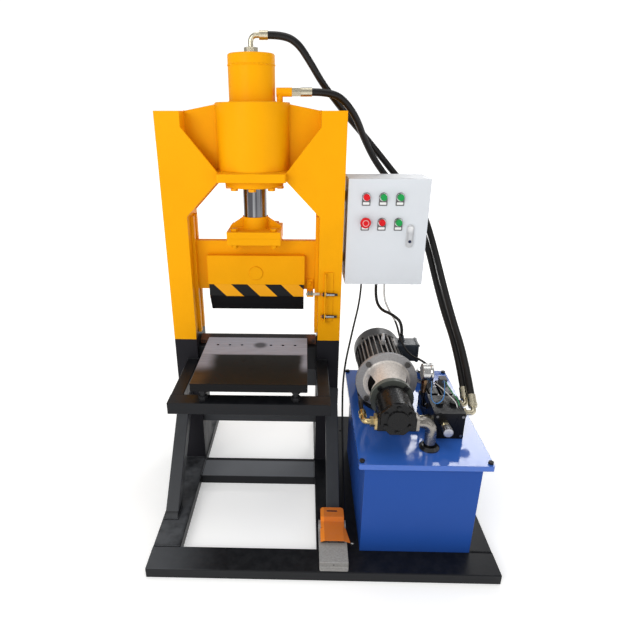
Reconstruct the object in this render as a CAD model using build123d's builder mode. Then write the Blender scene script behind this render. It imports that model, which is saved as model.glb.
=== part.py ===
"""Hydraulic stone splitting machine with its table, control box, power pack and foot switch.

All lengths are in millimetres. Positions inside the script are given from the press axis (x),
from the front faces of the columns (y) and from the floor (z). The function spot turns them into
the model frame, whose origin is the middle of the base on the floor.
"""

import os
from math import atan2, cos, pi, radians, sin, tan

from build123d import *

# Base frame
base_width = 1214
base_depth = 960
base_height = 40
base_tube = 100
base_wall = 5
tube_corner = 3
left_reach = 345
front_reach = 610
sill_depth = 125
deck_thick = 6
vent_radius = 6

# Columns and struts
column_gap = 494
column_width = 90
column_depth = 180
column_wall = 8
column_top = 1494
face_plate = 12
knee_top_drop = 53
knee_bottom = 1128
knee_tip = 124
strut_size = 50
strut_wall = 4
strut_foot = 345
strut_head = 372

# Press head
seat_top = 1287
seat_thick = 30
seat_nose = 46
wing_thick = 20
jacket_radius = 132
jacket_wall = 14
jacket_height = 235
cover_thick = 12
barrel_radius = 82.5
bore_radius = 62.5
barrel_top = 1640
cap_thick = 36
cap_spigot = 18
gland_radius = 110
gland_thick = 26
gland_spigot = 40
gland_circle = 97
gland_bolt_count = 8
bolt_radius = 8
bolt_across = 24
head_thick = 10
neck_x = 100
neck_y = 62
neck_radius = 11
port_block_radius = 15
port_block_long = 55
port_block_inset = 3
port_z = 1554
elbow_rise = 57

# Ram, blade and guides
rod_radius = 45
rod_step = 15
piston_bottom = 1428
piston_height = 60
flange_plate = 25
flange_wide = 205
flange_deep = 190
collar_wall = 4
collar_height = 46
ram_bolt_x = 75
ram_bolt_y = 70
beam_low = 823
beam_high = 1022
beam_thick = 30
beam_side_gap = 1
guide_wide = 12
guide_deep = 25
guide_low = 640
guide_high = 1120
cheek_half = 193
cheek_thick = 26
cheek_low = 850
cheek_high = 968
pin_radius = 27
pin_z = 897
pin_proud = 4
blade_half = 190
blade_flat_low = 802
blade_edge = 731
blade_edge_half = 4
rock_gap = 12
arm_gap = 1.3
slide_gap = 0.3
run_gap = 0.05
fit_gap = 0.1

# Table
table_half = 207
table_front = -342
table_rear = 56
table_low = 583
table_thick = 30
peg_radius = 6
peg_y = -18
peg_spans = (314, 216, 118)
anvil_front = 30
anvil_rear = 150
anvil_low = 400
anvil_wall = 16
tie_low = 222
tie_high = 300
tie_front = 20
tie_rear = 70
tie_wall = 6
frame_half = 290
frame_tube = 46
frame_front = -351
frame_deep = 64
frame_low = 494
frame_high = 539
frame_wall = 4
frame_vent_in = 80
jack_x = 166
jack_radius = 10
jack_across = 30
lower_blade_half = 243
lower_blade_wide = 64
lower_blade_shoulder = 17
lower_blade_rise = 31

# Sensors
sensor_y = -14
sensor_upper = 831
sensor_lower = 739
sensor_radius = 6
sensor_left = 258
sensor_right = 322
strap_x = 271
strap_thick = 4
strap_low = 713
strap_high = 917
strap_reach = 30
strap_foot = 34
trigger_z = 831
trigger_y = -8
trigger_end = 252
arm_wide = 26
arm_sheet = 5
arm_clear = 9

# Control box
box_left = 350
box_right = 650
box_low = 866
box_high = 1266
box_back = 180
box_front = 33
box_sheet = 2
box_lip = 12
door_front = 14
door_back = 30
door_sheet = 2
hinge_in = 5.5
hinge_pin = 2.5
hinge_barrel = 3.5
door_barrel = 4
hinge_arm = 12
hinge_rise = 60
button_cols = (417, 479, 541)
button_rows = (1202, 1110)
button_hole = 11.25
bezel_radius = 14.5
bezel_thick = 5
legend_thick = 2
stem_radius = 9.7
plunger_radius = 4
cap_radius = 12
cap_lift = 5
cap_thick_push = 7
stop_radius = 20
lock_x = 587
lock_z = 1068
lock_plate_wide = 28
lock_plate_tall = 87
lock_drop = 10.5
lock_cam_reach = 54
lock_bush = 11
lock_spindle = 8
bar_high = 40
bar_thick = 8
bar_left = 255
bar_heights = (930, 1180)
gland_xs = (425, 486, 520)
gland_y = 100
entry_radius = 8
entry_drop = 26

# Power pack
tank_left = 398
tank_right = 787
tank_front = -514
tank_rear = 75
tank_sheet = 4
lid_side = 23
lid_end = 30
lid_top = 439
lid_lip = 20
lid_plate = 5
filler_bore = 22
suction_hole = 21
motor_x = 500
motor_z = 567
motor_front = -210
motor_rear = 0
frame_radius = 78
fin_radius = 92
fin_thick = 4
fin_count = 30
cowl_rear = 72
cowl_radius = 95
feet_y = -100
terminal_y = -35
terminal_z = 608
terminal_right = 636
terminal_gland_x = 580
eye_y = -80
shaft_radius = 14
fan_rear = 52
fan_deep = 32
fan_blades = 7
fan_blade_long = 62
fan_blade_mid = 52
rotor_radius = 58
bell_radius = 113
bell_flange = 14
bell_bolt_circle = 100
bell_front = -334
pump_ring_radius = 75
pump_ring_thick = 20
pump_front = -488
pump_radius = 60
pump_cover = 16
pump_cavity = 41
pump_rotor = 40
port_face = 64
suction_x = 619
suction_y = -448
suction_z = 540
pump_ferrule_long = 26
pump_in_y = -320
pump_in_z = 470
block_left = 641
block_right = 748
block_front = -395
block_step = -275
block_rear = -150
block_high = 540
block_low_top = 488
valve_xs = (669, 722)
valve_y = -235
coil_front = -198
plug_y = -172
relief_x = 677
relief_z = 500
relief_spindle = 5
elbow_z = 524
elbow_one_y = -362
elbow_two_y = -310
elbow_one_reach = 37
elbow_two_reach = 24
hose_rise = 38
filler_x = 700
filler_y = 20
gauge_y = -290
gauge_z = 643
gauge_radius = 32
gauge_tap_z = 505
gauge_stand = 18

# Foot switch
switch_left = 253
switch_right = 352
switch_front = -605
switch_rear = -420
switch_high = 52
switch_lip = 5
switch_step_y = -520
switch_step_high = 32
switch_wall = 8
pedal_pin_radius = 4
pedal_pin_rise = 46
pedal_pin_y = -442
tread_sheet = 2.5
tread_left = 260
tread_wide = 86
fold_left = 272
fold_right = 341
flare_left = 258
flare_right = 363
flare_rear = -462
tread_front_rise = 51
tread_rear_rise = 56
riser_rise = 72
tongue_rise = 76
tongue_reach = 35

# Hoses and cables
hose_across = 25
pump_hose_across = 16
motor_cable_across = 12
valve_cable_across = 8
foot_cable_across = 8

# Derived values
press_x = left_reach - base_width / 2
column_face = front_reach - base_depth / 2
axis_y = column_depth / 2
gap_half = column_gap / 2
column_out = gap_half + column_width
seat_low = seat_top - seat_thick
jacket_top = seat_top + jacket_height
right_reach = base_width - left_reach
rear_reach = base_depth - front_reach
skid_xs = (-left_reach + base_tube / 2, left_reach - base_tube / 2, right_reach - base_tube / 2)
pump_ring_front = bell_front - pump_ring_thick


def spot(x, y, z):
    """Model position of a point given from press axis, column faces and floor."""
    return (press_x + x, column_face + y, z)


def level(x=0, y=0, z=0):
    """Plane that faces up."""
    return Plane(spot(x, y, z))


def facing(x=0, y=0, z=0):
    """Plane that faces the operator: its x goes right and its y goes up."""
    return Plane(origin=spot(x, y, z), x_dir=(1, 0, 0), z_dir=(0, -1, 0))


def beside(x=0, y=0, z=0):
    """Plane that faces right: its x goes to the back and its y goes up."""
    return Plane(origin=spot(x, y, z), x_dir=(0, 1, 0), z_dir=(1, 0, 0))


def spoke(y, turn, radius):
    """Plane that faces the operator, out on a spoke of the motor axis."""
    across = cos(radians(turn))
    up = sin(radians(turn))
    middle = spot(motor_x + radius * across, y, motor_z + radius * up)
    return Plane(origin=middle, x_dir=(across, 0, up), z_dir=(0, -1, 0))


def ahead(point, way, distance):
    """Point further along a direction."""
    return tuple(place + distance * part for place, part in zip(point, way))


def press_line():
    """Plane for turned pieces on the press axis: along the axis, then radius."""
    return Plane(origin=spot(0, axis_y, 0), x_dir=(0, 0, 1), z_dir=(0, 1, 0))


def motor_line():
    """Plane for turned pieces on the motor axis: along the axis, then radius."""
    return Plane(origin=spot(motor_x, 0, motor_z), x_dir=(0, 1, 0), z_dir=(1, 0, 0))


def slab(plane, points, length, mode=Mode.ADD):
    """Straight piece with a cornered outline."""
    with BuildSketch(plane) as outline:
        Polygon(*points, align=None)
    extrude(outline.sketch, amount=length, dir=plane.z_dir, mode=mode)


def disc(plane, radius, length, mode=Mode.ADD):
    """Round bar or bore along the plane's normal."""
    with BuildSketch(plane) as outline:
        Circle(radius)
    extrude(outline.sketch, amount=length, dir=plane.z_dir, mode=mode)


def hexagon(plane, across, length):
    """Hexagonal bar, such as a nut or a bolt head."""
    with BuildSketch(plane) as outline:
        RegularPolygon(across / 2, 6, major_radius=False)
    extrude(outline.sketch, amount=length, dir=plane.z_dir)


def block(plane, wide, high, length, mode=Mode.ADD):
    """Block with sharp edges."""
    with BuildSketch(plane) as outline:
        Rectangle(wide, high)
    extrude(outline.sketch, amount=length, dir=plane.z_dir, mode=mode)


def soft_block(plane, wide, high, corner, length, mode=Mode.ADD):
    """Block with rounded corners around the plane's normal."""
    with BuildSketch(plane) as outline:
        RectangleRounded(wide, high, corner)
    extrude(outline.sketch, amount=length, dir=plane.z_dir, mode=mode)


def hollow(plane, wide, high, wall, length):
    """Rectangular hollow section."""
    with BuildSketch(plane) as outline:
        RectangleRounded(wide, high, tube_corner)
        Rectangle(wide - 2 * wall, high - 2 * wall, mode=Mode.SUBTRACT)
    extrude(outline.sketch, amount=length, dir=plane.z_dir)


def turned(plane, points, mode=Mode.ADD):
    """Turned piece from a half outline given as (along, radius)."""
    with BuildSketch(plane) as outline:
        Polygon(*points, align=None)
    revolve(outline.sketch, axis=Axis(plane.origin, plane.x_dir), mode=mode)


def bend_radii(points, share=0.45):
    """Radius for each inner point of a run, as large as the shorter run next to it allows."""
    radii = []
    for before, here, after in zip(points, points[1:], points[2:]):
        into = Vector(*here) - Vector(*before)
        out = Vector(*after) - Vector(*here)
        half_turn = radians(into.get_angle(out)) / 2
        radii.append(share * min(into.length, out.length) / tan(half_turn))
    return radii


def tube_along(points, across, radii=None, inner=0):
    """Round tube along straight runs joined by tangent bends."""
    places = [spot(*point) for point in points]
    radii = radii or bend_radii(places)
    with BuildLine() as path:
        FilletPolyline(*places, radius=radii)
    route = path.wires()[0]
    start = Plane(origin=route @ 0, z_dir=route % 0)
    with BuildSketch(start) as ring:
        Circle(across / 2)
        if inner:
            Circle(inner / 2, mode=Mode.SUBTRACT)
    sweep(ring.sketch, path=route)
    return route.length, radii


def hand_over(label, part):
    """Name a finished piece and write its file."""
    part.label = label
    export_step(part, f"parts/{label}.step")


os.makedirs("parts", exist_ok=True)

# Base: front beam, three skids, cross sill with rear tie, and the deck under the tank
beam_line = beside(-left_reach, -front_reach + base_tube / 2, base_height / 2)
with BuildPart() as front_beam:
    hollow(beam_line, base_tube, base_height, base_wall, base_width)
    for end in (0, base_width - base_wall):
        soft_block(beam_line.offset(end), base_tube - base_wall, base_height - base_wall, 1, base_wall)
    for end in (-left_reach + base_tube, right_reach - base_tube):
        disc(level(end, -front_reach + base_tube / 2, 0), vent_radius, base_height / 2, mode=Mode.SUBTRACT)
hand_over("front_beam", front_beam.part)

skid_front = -front_reach + base_tube
left_side = skid_xs[0] + base_tube / 2
centre_left = skid_xs[1] - base_tube / 2
centre_right = skid_xs[1] + base_tube / 2
right_side = skid_xs[2] - base_tube / 2
with BuildPart() as skids:
    for x in skid_xs:
        rear_end = facing(x, rear_reach, base_height / 2)
        hollow(rear_end, base_tube, base_height, base_wall, rear_reach - skid_front)
        soft_block(rear_end, base_tube - base_wall, base_height - base_wall, 1, base_wall)
    sill_line = beside(left_side, -sill_depth / 2, base_height / 2)
    hollow(sill_line, sill_depth, base_height, base_wall, centre_left - left_side)
    tie_line = beside(centre_right, rear_reach - base_tube / 2, base_height / 2)
    hollow(tie_line, base_tube, base_height, base_wall, right_side - centre_right)
hand_over("skids", skids.part)

deck_rear = rear_reach - base_tube
with BuildPart() as deck_plate:
    deck_spot = level((centre_right + right_side) / 2, (skid_front + deck_rear) / 2, base_height - deck_thick)
    with BuildSketch(deck_spot):
        Rectangle(right_side - centre_right, deck_rear - skid_front)
        with GridLocations(right_side - centre_right - 60, deck_rear - skid_front - 60, 2, 2):
            Circle(vent_radius, mode=Mode.SUBTRACT)
    extrude(amount=deck_thick)
hand_over("deck_plate", deck_plate.part)

# Columns with their face plates, the struts and the guide strips
column_mid = gap_half + column_width / 2
tube_deep = column_depth - 2 * face_plate
with BuildPart() as columns:
    for side in (-1, 1):
        foot = level(side * column_mid, axis_y, base_height)
        hollow(foot, column_width, tube_deep, column_wall, column_top - base_height)
        top = level(side * column_mid, axis_y, column_top - column_wall)
        soft_block(top, column_width - column_wall, tube_deep - column_wall, 1, column_wall)
hand_over("columns", columns.part)

knee_top = column_top - knee_top_drop
with BuildPart() as column_plates:
    for side in (-1, 1):
        outline = [
            (side * column_out, base_height),
            (side * column_out, column_top),
            (side * gap_half, column_top),
            (side * gap_half, knee_top),
            (side * knee_tip, seat_top),
            (side * knee_tip, seat_low),
            (side * gap_half, knee_bottom),
            (side * gap_half, base_height),
        ]
        for y in (face_plate, column_depth):
            slab(facing(0, y, 0), outline, face_plate)
hand_over("column_plates", column_plates.part)

strut_rise = atan2(strut_head - base_height, strut_foot)
strut_x = column_out - strut_size / 2 - 1
with BuildPart() as struts:
    for side in (-1, 1):
        strut_way = (0, cos(strut_rise), sin(strut_rise))
        strut_start = spot(side * strut_x, -strut_foot, base_height)
        strut_plane = Plane(origin=strut_start, x_dir=(1, 0, 0), z_dir=strut_way)
        hollow(strut_plane.offset(-strut_size * 2), strut_size, strut_size, strut_wall, 3 * strut_foot)
    split(bisect_by=level(0, 0, base_height), keep=Keep.TOP)
    split(bisect_by=facing(0, 0, 0), keep=Keep.TOP)
hand_over("struts", struts.part)

guide_offset = beam_thick / 2 + slide_gap
with BuildPart() as guide_strips:
    for side in (-1, 1):
        for way in (-1, 1):
            strip_y = axis_y + way * (guide_offset + guide_deep / 2)
            strip = level(side * (gap_half - guide_wide / 2), strip_y, guide_low)
            soft_block(strip, guide_wide, guide_deep, 1, guide_high - guide_low)
hand_over("guide_strips", guide_strips.part)

# Table: anvil beam between the columns, carrying frame, plate, and the lower blade
anvil_deep = anvil_rear - anvil_front
anvil_mid = (anvil_front + anvil_rear) / 2
with BuildPart() as anvil_beam:
    anvil_line = beside(-gap_half, anvil_mid, (anvil_low + table_low) / 2)
    hollow(anvil_line, anvil_deep, table_low - anvil_low, anvil_wall, column_gap)
    cross_tie = beside(-gap_half, (tie_front + tie_rear) / 2, (tie_low + tie_high) / 2)
    hollow(cross_tie, tie_rear - tie_front, tie_high - tie_low, tie_wall, column_gap)
hand_over("anvil_beam", anvil_beam.part)

frame_mid_z = (frame_low + frame_high) / 2
frame_tall = frame_high - frame_low
front_mid = frame_front + frame_deep / 2
with BuildPart() as table_frame:
    front_line = beside(-frame_half, front_mid, frame_mid_z)
    hollow(front_line, frame_deep, frame_tall, frame_wall, 2 * frame_half)
    for end in (0, 2 * frame_half - frame_wall):
        soft_block(front_line.offset(end), frame_deep - frame_wall, frame_tall - frame_wall, 1, frame_wall)
    for side in (-1, 1):
        arm_line = facing(side * (frame_half - frame_tube / 2), 0, frame_mid_z)
        hollow(arm_line, frame_tube, frame_tall, frame_wall, -frame_front - frame_deep)
        vent = level(side * (frame_half - frame_vent_in), front_mid, frame_low)
        disc(vent, vent_radius, frame_tall / 2, mode=Mode.SUBTRACT)
hand_over("table_frame", table_frame.part)

with BuildPart() as table_plate:
    table_spot = level(0, (table_front + table_rear) / 2, table_low)
    with BuildSketch(table_spot):
        RectangleRounded(2 * table_half, table_rear - table_front, 5)
        with Locations((0, peg_y - (table_front + table_rear) / 2)):
            for span in peg_spans:
                with GridLocations(span, 0, 2, 1):
                    Circle(peg_radius, mode=Mode.SUBTRACT)
    extrude(amount=table_thick)
    chamfer(table_plate.edges().group_by(Axis.Z)[-1].filter_by(GeomType.LINE), 1.5)
hand_over("table_plate", table_plate.part)

low_front = axis_y - lower_blade_wide / 2
low_rear = axis_y + lower_blade_wide / 2
with BuildPart() as lower_blade:
    blade_outline = [
        (low_front, table_low),
        (low_rear, table_low),
        (low_rear, table_low + lower_blade_shoulder),
        (axis_y + blade_edge_half, table_low + lower_blade_rise),
        (axis_y - blade_edge_half, table_low + lower_blade_rise),
        (low_front, table_low + lower_blade_shoulder),
    ]
    slab(beside(-lower_blade_half), blade_outline, 2 * lower_blade_half)
hand_over("lower_blade", lower_blade.part)

# Press head: seat with wings, jacket with port, barrel, gland and bolts
with BuildPart() as seat_plate:
    with BuildSketch(level(0, axis_y, seat_low)):
        Rectangle(column_gap, tube_deep)
        RectangleRounded(2 * knee_tip, column_depth + 2 * seat_nose, 10)
        Circle(barrel_radius + fit_gap, mode=Mode.SUBTRACT)
        with PolarLocations(gland_circle, gland_bolt_count, start_angle=-90):
            Circle(bolt_radius + fit_gap, mode=Mode.SUBTRACT)
    extrude(amount=seat_thick)
    for side in (-1, 1):
        wing = [
            (side * gap_half, seat_top),
            (side * gap_half, column_top),
            (side * (jacket_radius - 20), jacket_top - 2),
            (side * (jacket_radius - 20), seat_top),
        ]
        slab(facing(0, axis_y + wing_thick / 2, 0), wing, wing_thick)
    disc(level(0, axis_y, seat_top), jacket_radius + fit_gap, jacket_height, mode=Mode.SUBTRACT)
hand_over("seat_plate", seat_plate.part)

cover_low = jacket_top - cover_thick
port_start = neck_x - port_block_radius + port_block_inset
with BuildPart() as jacket:
    turned(press_line(), [
        (seat_top, jacket_radius - jacket_wall),
        (seat_top, jacket_radius - 5),
        (seat_top + 5, jacket_radius),
        (jacket_top - 2, jacket_radius),
        (jacket_top, jacket_radius - 2),
        (jacket_top, barrel_radius + fit_gap),
        (cover_low, barrel_radius + fit_gap),
        (cover_low, jacket_radius - jacket_wall),
    ])
    disc(level(neck_x, neck_y, jacket_top), neck_radius, port_z - jacket_top)
    disc(beside(port_start, neck_y, port_z), port_block_radius, port_block_long)
    disc(level(neck_x, neck_y, cover_low), 6, port_z - cover_low, mode=Mode.SUBTRACT)
    disc(beside(neck_x - 5, neck_y, port_z), 7, 60, mode=Mode.SUBTRACT)
hand_over("jacket", jacket.part)

cap_top = barrel_top + cap_thick
oil_hole_z = seat_low + gland_spigot + 6
with BuildPart() as barrel:
    turned(press_line(), [
        (seat_low, bore_radius),
        (seat_low, barrel_radius),
        (barrel_top - 3, barrel_radius),
        (barrel_top, barrel_radius - 3),
        (barrel_top + 3, barrel_radius),
        (cap_top - 4, barrel_radius),
        (cap_top, barrel_radius - 4),
        (cap_top, 9),
        (barrel_top - cap_spigot, 9),
        (barrel_top - cap_spigot, bore_radius),
    ])
    for turn in range(30, 390, 60):
        outward = (cos(radians(turn)), sin(radians(turn)), 0)
        oil_way = Plane(origin=spot(0, axis_y, oil_hole_z), z_dir=outward)
        disc(oil_way.offset(bore_radius - 8), 5, barrel_radius, mode=Mode.SUBTRACT)
hand_over("barrel", barrel.part)

gland_low = seat_low - gland_thick
with BuildPart() as gland:
    turned(press_line(), [
        (gland_low, rod_radius + run_gap),
        (gland_low, gland_radius - 3),
        (gland_low + 3, gland_radius),
        (seat_low, gland_radius),
        (seat_low, rod_radius + run_gap),
    ])
    with Locations(level(0, axis_y, gland_low)):
        with PolarLocations(gland_circle, gland_bolt_count, start_angle=-90):
            Hole(bolt_radius + 0.5, depth=2 * gland_thick)
with BuildPart() as guide_bush:
    turned(press_line(), [
        (seat_low, rod_radius + run_gap),
        (seat_low, bore_radius - fit_gap),
        (seat_low + gland_spigot, bore_radius - fit_gap),
        (seat_low + gland_spigot, rod_radius + run_gap),
    ])
hand_over("gland", Compound([*gland.solids(), *guide_bush.solids()]))

with BuildPart() as frame_bolts:
    for number in range(gland_bolt_count):
        turn = radians(-90 + number * 360 / gland_bolt_count)
        x = gland_circle * cos(turn)
        y = axis_y + gland_circle * sin(turn)
        hexagon(level(x, y, gland_low - head_thick), bolt_across, head_thick)
        disc(level(x, y, gland_low), bolt_radius, gland_thick + seat_thick - 4)
    for x in (tank_left - lid_side + 10, tank_right + lid_side - 10):
        for y in (tank_front - lid_end + 16, tank_rear + lid_end - 16):
            hexagon(level(x, y, lid_top), 16, 7)
    for side in (-1, 1):
        jack_seat = level(side * jack_x, front_mid, frame_high)
        hexagon(jack_seat, jack_across, 1.6 * jack_radius)
        disc(jack_seat, jack_radius, table_low - frame_high - 3)
        hexagon(level(side * jack_x, front_mid, table_low - 13), jack_across, 13)
hand_over("frame_bolts", frame_bolts.part)

# Ram: rod with piston, rod flange, beam, bolts and trigger arm
flange_low = beam_high + flange_plate
flange_top = flange_low + flange_plate
piston_top = piston_bottom + piston_height
with BuildPart() as piston_rod:
    turned(press_line(), [
        (flange_top, 0),
        (flange_top, rod_radius),
        (piston_bottom, rod_radius),
        (piston_bottom, rod_radius - rod_step),
        (piston_top + 24, rod_radius - rod_step),
        (piston_top + 26, rod_radius - rod_step - 2),
        (piston_top + 26, 0),
    ])
hand_over("piston_rod", piston_rod.part)

piston_out = bore_radius - run_gap
hub = rod_radius - rod_step + fit_gap
with BuildPart() as piston:
    turned(press_line(), [
        (piston_bottom, hub),
        (piston_bottom, piston_out - 2),
        (piston_bottom + 2, piston_out),
        (piston_bottom + 14, piston_out),
        (piston_bottom + 14, piston_out - 6),
        (piston_bottom + 24, piston_out - 6),
        (piston_bottom + 24, piston_out),
        (piston_top - 24, piston_out),
        (piston_top - 24, piston_out - 6),
        (piston_top - 14, piston_out - 6),
        (piston_top - 14, piston_out),
        (piston_top - 2, piston_out),
        (piston_top, piston_out - 2),
        (piston_top, hub),
    ])
    with BuildSketch(level(0, axis_y, piston_top)):
        RegularPolygon(40, 6, major_radius=False)
        Circle(hub, mode=Mode.SUBTRACT)
    extrude(amount=22)
hand_over("piston", piston.part)


def corner_holes(plate_low):
    """Four clearance holes for the corner bolts of the rod flange."""
    for x in (-ram_bolt_x, ram_bolt_x):
        for y in (axis_y - ram_bolt_y, axis_y + ram_bolt_y):
            disc(level(x, y, plate_low), bolt_radius + 0.5, flange_plate, mode=Mode.SUBTRACT)


collar_out = rod_radius + fit_gap + collar_wall
with BuildPart() as rod_flange:
    soft_block(level(0, axis_y, flange_low), flange_wide, flange_deep, 4, flange_plate)
    disc(level(0, axis_y, flange_top), collar_out, collar_height)
    for side in (-1, 1):
        gusset = [
            (side * (rod_radius + 1), flange_top),
            (side * (flange_wide / 2 - 4), flange_top),
            (side * (flange_wide / 2 - 4), flange_top + 8),
            (side * (rod_radius + 1), flange_top + collar_height - 2),
        ]
        slab(facing(0, axis_y + 6, 0), gusset, 12)
    disc(level(0, axis_y, flange_top), rod_radius + fit_gap, collar_height + 2, mode=Mode.SUBTRACT)
    corner_holes(flange_low)
hand_over("rod_flange", rod_flange.part)

with BuildPart() as head_bolts:
    for x in (-ram_bolt_x, ram_bolt_x):
        for y in (axis_y - ram_bolt_y, axis_y + ram_bolt_y):
            hexagon(level(x, y, flange_top), bolt_across, head_thick)
            disc(level(x, y, beam_high - 18), bolt_radius, flange_top - beam_high + 18)
            hexagon(level(x, y, beam_high - 13), bolt_across, 13)
hand_over("head_bolts", head_bolts.part)

beam_half = gap_half - beam_side_gap
with BuildPart() as ram_beam:
    beam_outline = [
        (-beam_half, beam_low + 8),
        (-beam_half + 8, beam_low),
        (beam_half - 8, beam_low),
        (beam_half, beam_low + 8),
        (beam_half, beam_high),
        (-beam_half, beam_high),
    ]
    slab(facing(0, axis_y + beam_thick / 2, 0), beam_outline, beam_thick)
    disc(facing(0, axis_y + beam_thick / 2, pin_z), pin_radius + run_gap, beam_thick, mode=Mode.SUBTRACT)
    soft_block(level(0, axis_y, beam_high), flange_wide, flange_deep, 4, flange_plate)
    corner_holes(beam_high)
hand_over("ram_beam", ram_beam.part)

beam_front = axis_y - beam_thick / 2
arm_left = cheek_half + arm_clear
with BuildPart() as trigger_arm:
    arm_outline = [
        (beam_front, trigger_z - 9),
        (beam_front, trigger_z + 36),
        (beam_front - arm_sheet, trigger_z + 36),
        (beam_front - arm_sheet, trigger_z - 4),
        (trigger_y - 10, trigger_z - 4),
        (trigger_y - 10, trigger_z - 9),
    ]
    slab(beside(arm_left), arm_outline, arm_wide)
    soft_block(beside(arm_left + 3, trigger_y, trigger_z + 2), 18, 16, 2, 8)
    soft_block(beside(arm_left + 15, trigger_y, trigger_z + 2), 18, 16, 2, 8)
    disc(beside(arm_left - 4, trigger_y, trigger_z), 5, trigger_end - arm_left + 4)
    hexagon(facing(arm_left + arm_wide / 2, beam_front - arm_sheet, trigger_z + 20), 13, 6)
hand_over("trigger_arm", trigger_arm.part)

# Blade that rocks on its pin below the ram beam
cheek_inner = beam_thick / 2 + slide_gap
cheek_mid_z = (cheek_low + cheek_high) / 2
cheek_tall = cheek_high - cheek_low
cheek_outer = cheek_inner + cheek_thick
with BuildPart() as blade_cheeks:
    for near in (axis_y - cheek_inner, axis_y + cheek_outer):
        cheek = facing(0, near, cheek_mid_z)
        soft_block(cheek, 2 * cheek_half, cheek_tall, 3, cheek_thick)
        disc(facing(0, near, pin_z), pin_radius + fit_gap / 2, cheek_thick, mode=Mode.SUBTRACT)
hand_over("blade_cheeks", blade_cheeks.part)

with BuildPart() as pivot_pin:
    pin_near = axis_y - cheek_outer - pin_proud
    pin_far = axis_y + cheek_outer + pin_proud
    pin_plane = Plane(origin=spot(0, 0, pin_z), x_dir=(0, 1, 0), z_dir=(1, 0, 0))
    turned(pin_plane, [
        (pin_near, 0),
        (pin_near, pin_radius - 1.5),
        (pin_near + 1.5, pin_radius),
        (pin_far - 1.5, pin_radius),
        (pin_far, pin_radius - 1.5),
        (pin_far, 0),
    ])
hand_over("pivot_pin", pivot_pin.part)

groove_half = beam_thick / 2 + arm_gap
with BuildPart() as upper_blade:
    upper_outline = [
        (axis_y - cheek_outer, cheek_low),
        (axis_y - groove_half, cheek_low),
        (axis_y - groove_half, beam_low - rock_gap),
        (axis_y + groove_half, beam_low - rock_gap),
        (axis_y + groove_half, cheek_low),
        (axis_y + cheek_outer, cheek_low),
        (axis_y + cheek_outer, blade_flat_low),
        (axis_y + blade_edge_half, blade_edge),
        (axis_y - blade_edge_half, blade_edge),
        (axis_y - cheek_outer, blade_flat_low),
    ]
    slab(beside(-blade_half), upper_outline, 2 * blade_half)
hand_over("upper_blade", upper_blade.part)

# Sensors on their slotted bracket at the right column
with BuildPart() as sensor_bracket:
    strap_mid = (strap_low + strap_high) / 2
    strap_tall = strap_high - strap_low
    soft_block(facing(strap_x + strap_foot / 2, 0, strap_mid), strap_foot, strap_tall, 1, strap_thick)
    with BuildSketch(beside(strap_x, -strap_reach / 2, strap_mid)):
        Rectangle(strap_reach, strap_tall)
        with Locations((sensor_y + strap_reach / 2, 0)):
            SlotOverall(strap_tall - 24, 2 * sensor_radius + 0.6, rotation=90, mode=Mode.SUBTRACT)
    extrude(amount=strap_thick)
hand_over("sensor_bracket", sensor_bracket.part)

with BuildPart() as sensors:
    for z in (sensor_upper, sensor_lower):
        disc(beside(sensor_left, sensor_y, z), sensor_radius - 0.6, 3)
        disc(beside(sensor_left + 3, sensor_y, z), sensor_radius, sensor_right - sensor_left - 15)
        disc(beside(sensor_right - 12, sensor_y, z), sensor_radius - 1, 12)
        hexagon(beside(strap_x - 4, sensor_y, z), 17, 4)
        hexagon(beside(strap_x + strap_thick, sensor_y, z), 17, 4)
hand_over("sensors", sensors.part)

# Control box with door, switches and inner gear
box_wide = box_right - box_left
box_tall = box_high - box_low
box_mid_x = (box_left + box_right) / 2
box_mid_z = (box_low + box_high) / 2
hinge_x = box_left + hinge_in
hinge_y = door_front + hinge_in
hinge_zs = (box_low + hinge_rise, box_high - hinge_rise)
with BuildPart() as box_shell:
    soft_block(facing(box_mid_x, box_back, box_mid_z), box_wide, box_tall, 1.5, box_back - box_front)
    inner = facing(box_mid_x, box_back - box_sheet, box_mid_z)
    room = box_back - box_front - 2 * box_sheet
    soft_block(inner, box_wide - 2 * box_sheet, box_tall - 2 * box_sheet, 1, room, mode=Mode.SUBTRACT)
    mouth_wide = box_wide - 2 * box_lip
    mouth_tall = box_tall - 2 * box_lip
    soft_block(inner, mouth_wide, mouth_tall, 2, room + 2 * box_sheet, mode=Mode.SUBTRACT)
    for z in hinge_zs:
        slab(level(0, 0, z - hinge_arm / 2), [
            (hinge_x - 2, box_front),
            (hinge_x + 2, box_front),
            (hinge_x + 2, hinge_y),
            (hinge_x - 2, hinge_y),
        ], hinge_arm)
        disc(level(hinge_x, hinge_y, z - hinge_arm / 2), hinge_barrel, hinge_arm)
        disc(level(hinge_x, hinge_y, z - 2 * hinge_arm), hinge_pin, 4 * hinge_arm)
    for x in gland_xs:
        disc(level(x, gland_y, box_low), entry_radius, box_sheet, mode=Mode.SUBTRACT)
hand_over("box_shell", box_shell.part)

with BuildPart() as box_bars:
    for z in bar_heights:
        bar = facing((bar_left + box_right - 10) / 2, box_back + bar_thick, z)
        soft_block(bar, box_right - 10 - bar_left, bar_high, 4, bar_thick)
hand_over("box_bars", box_bars.part)

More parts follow.
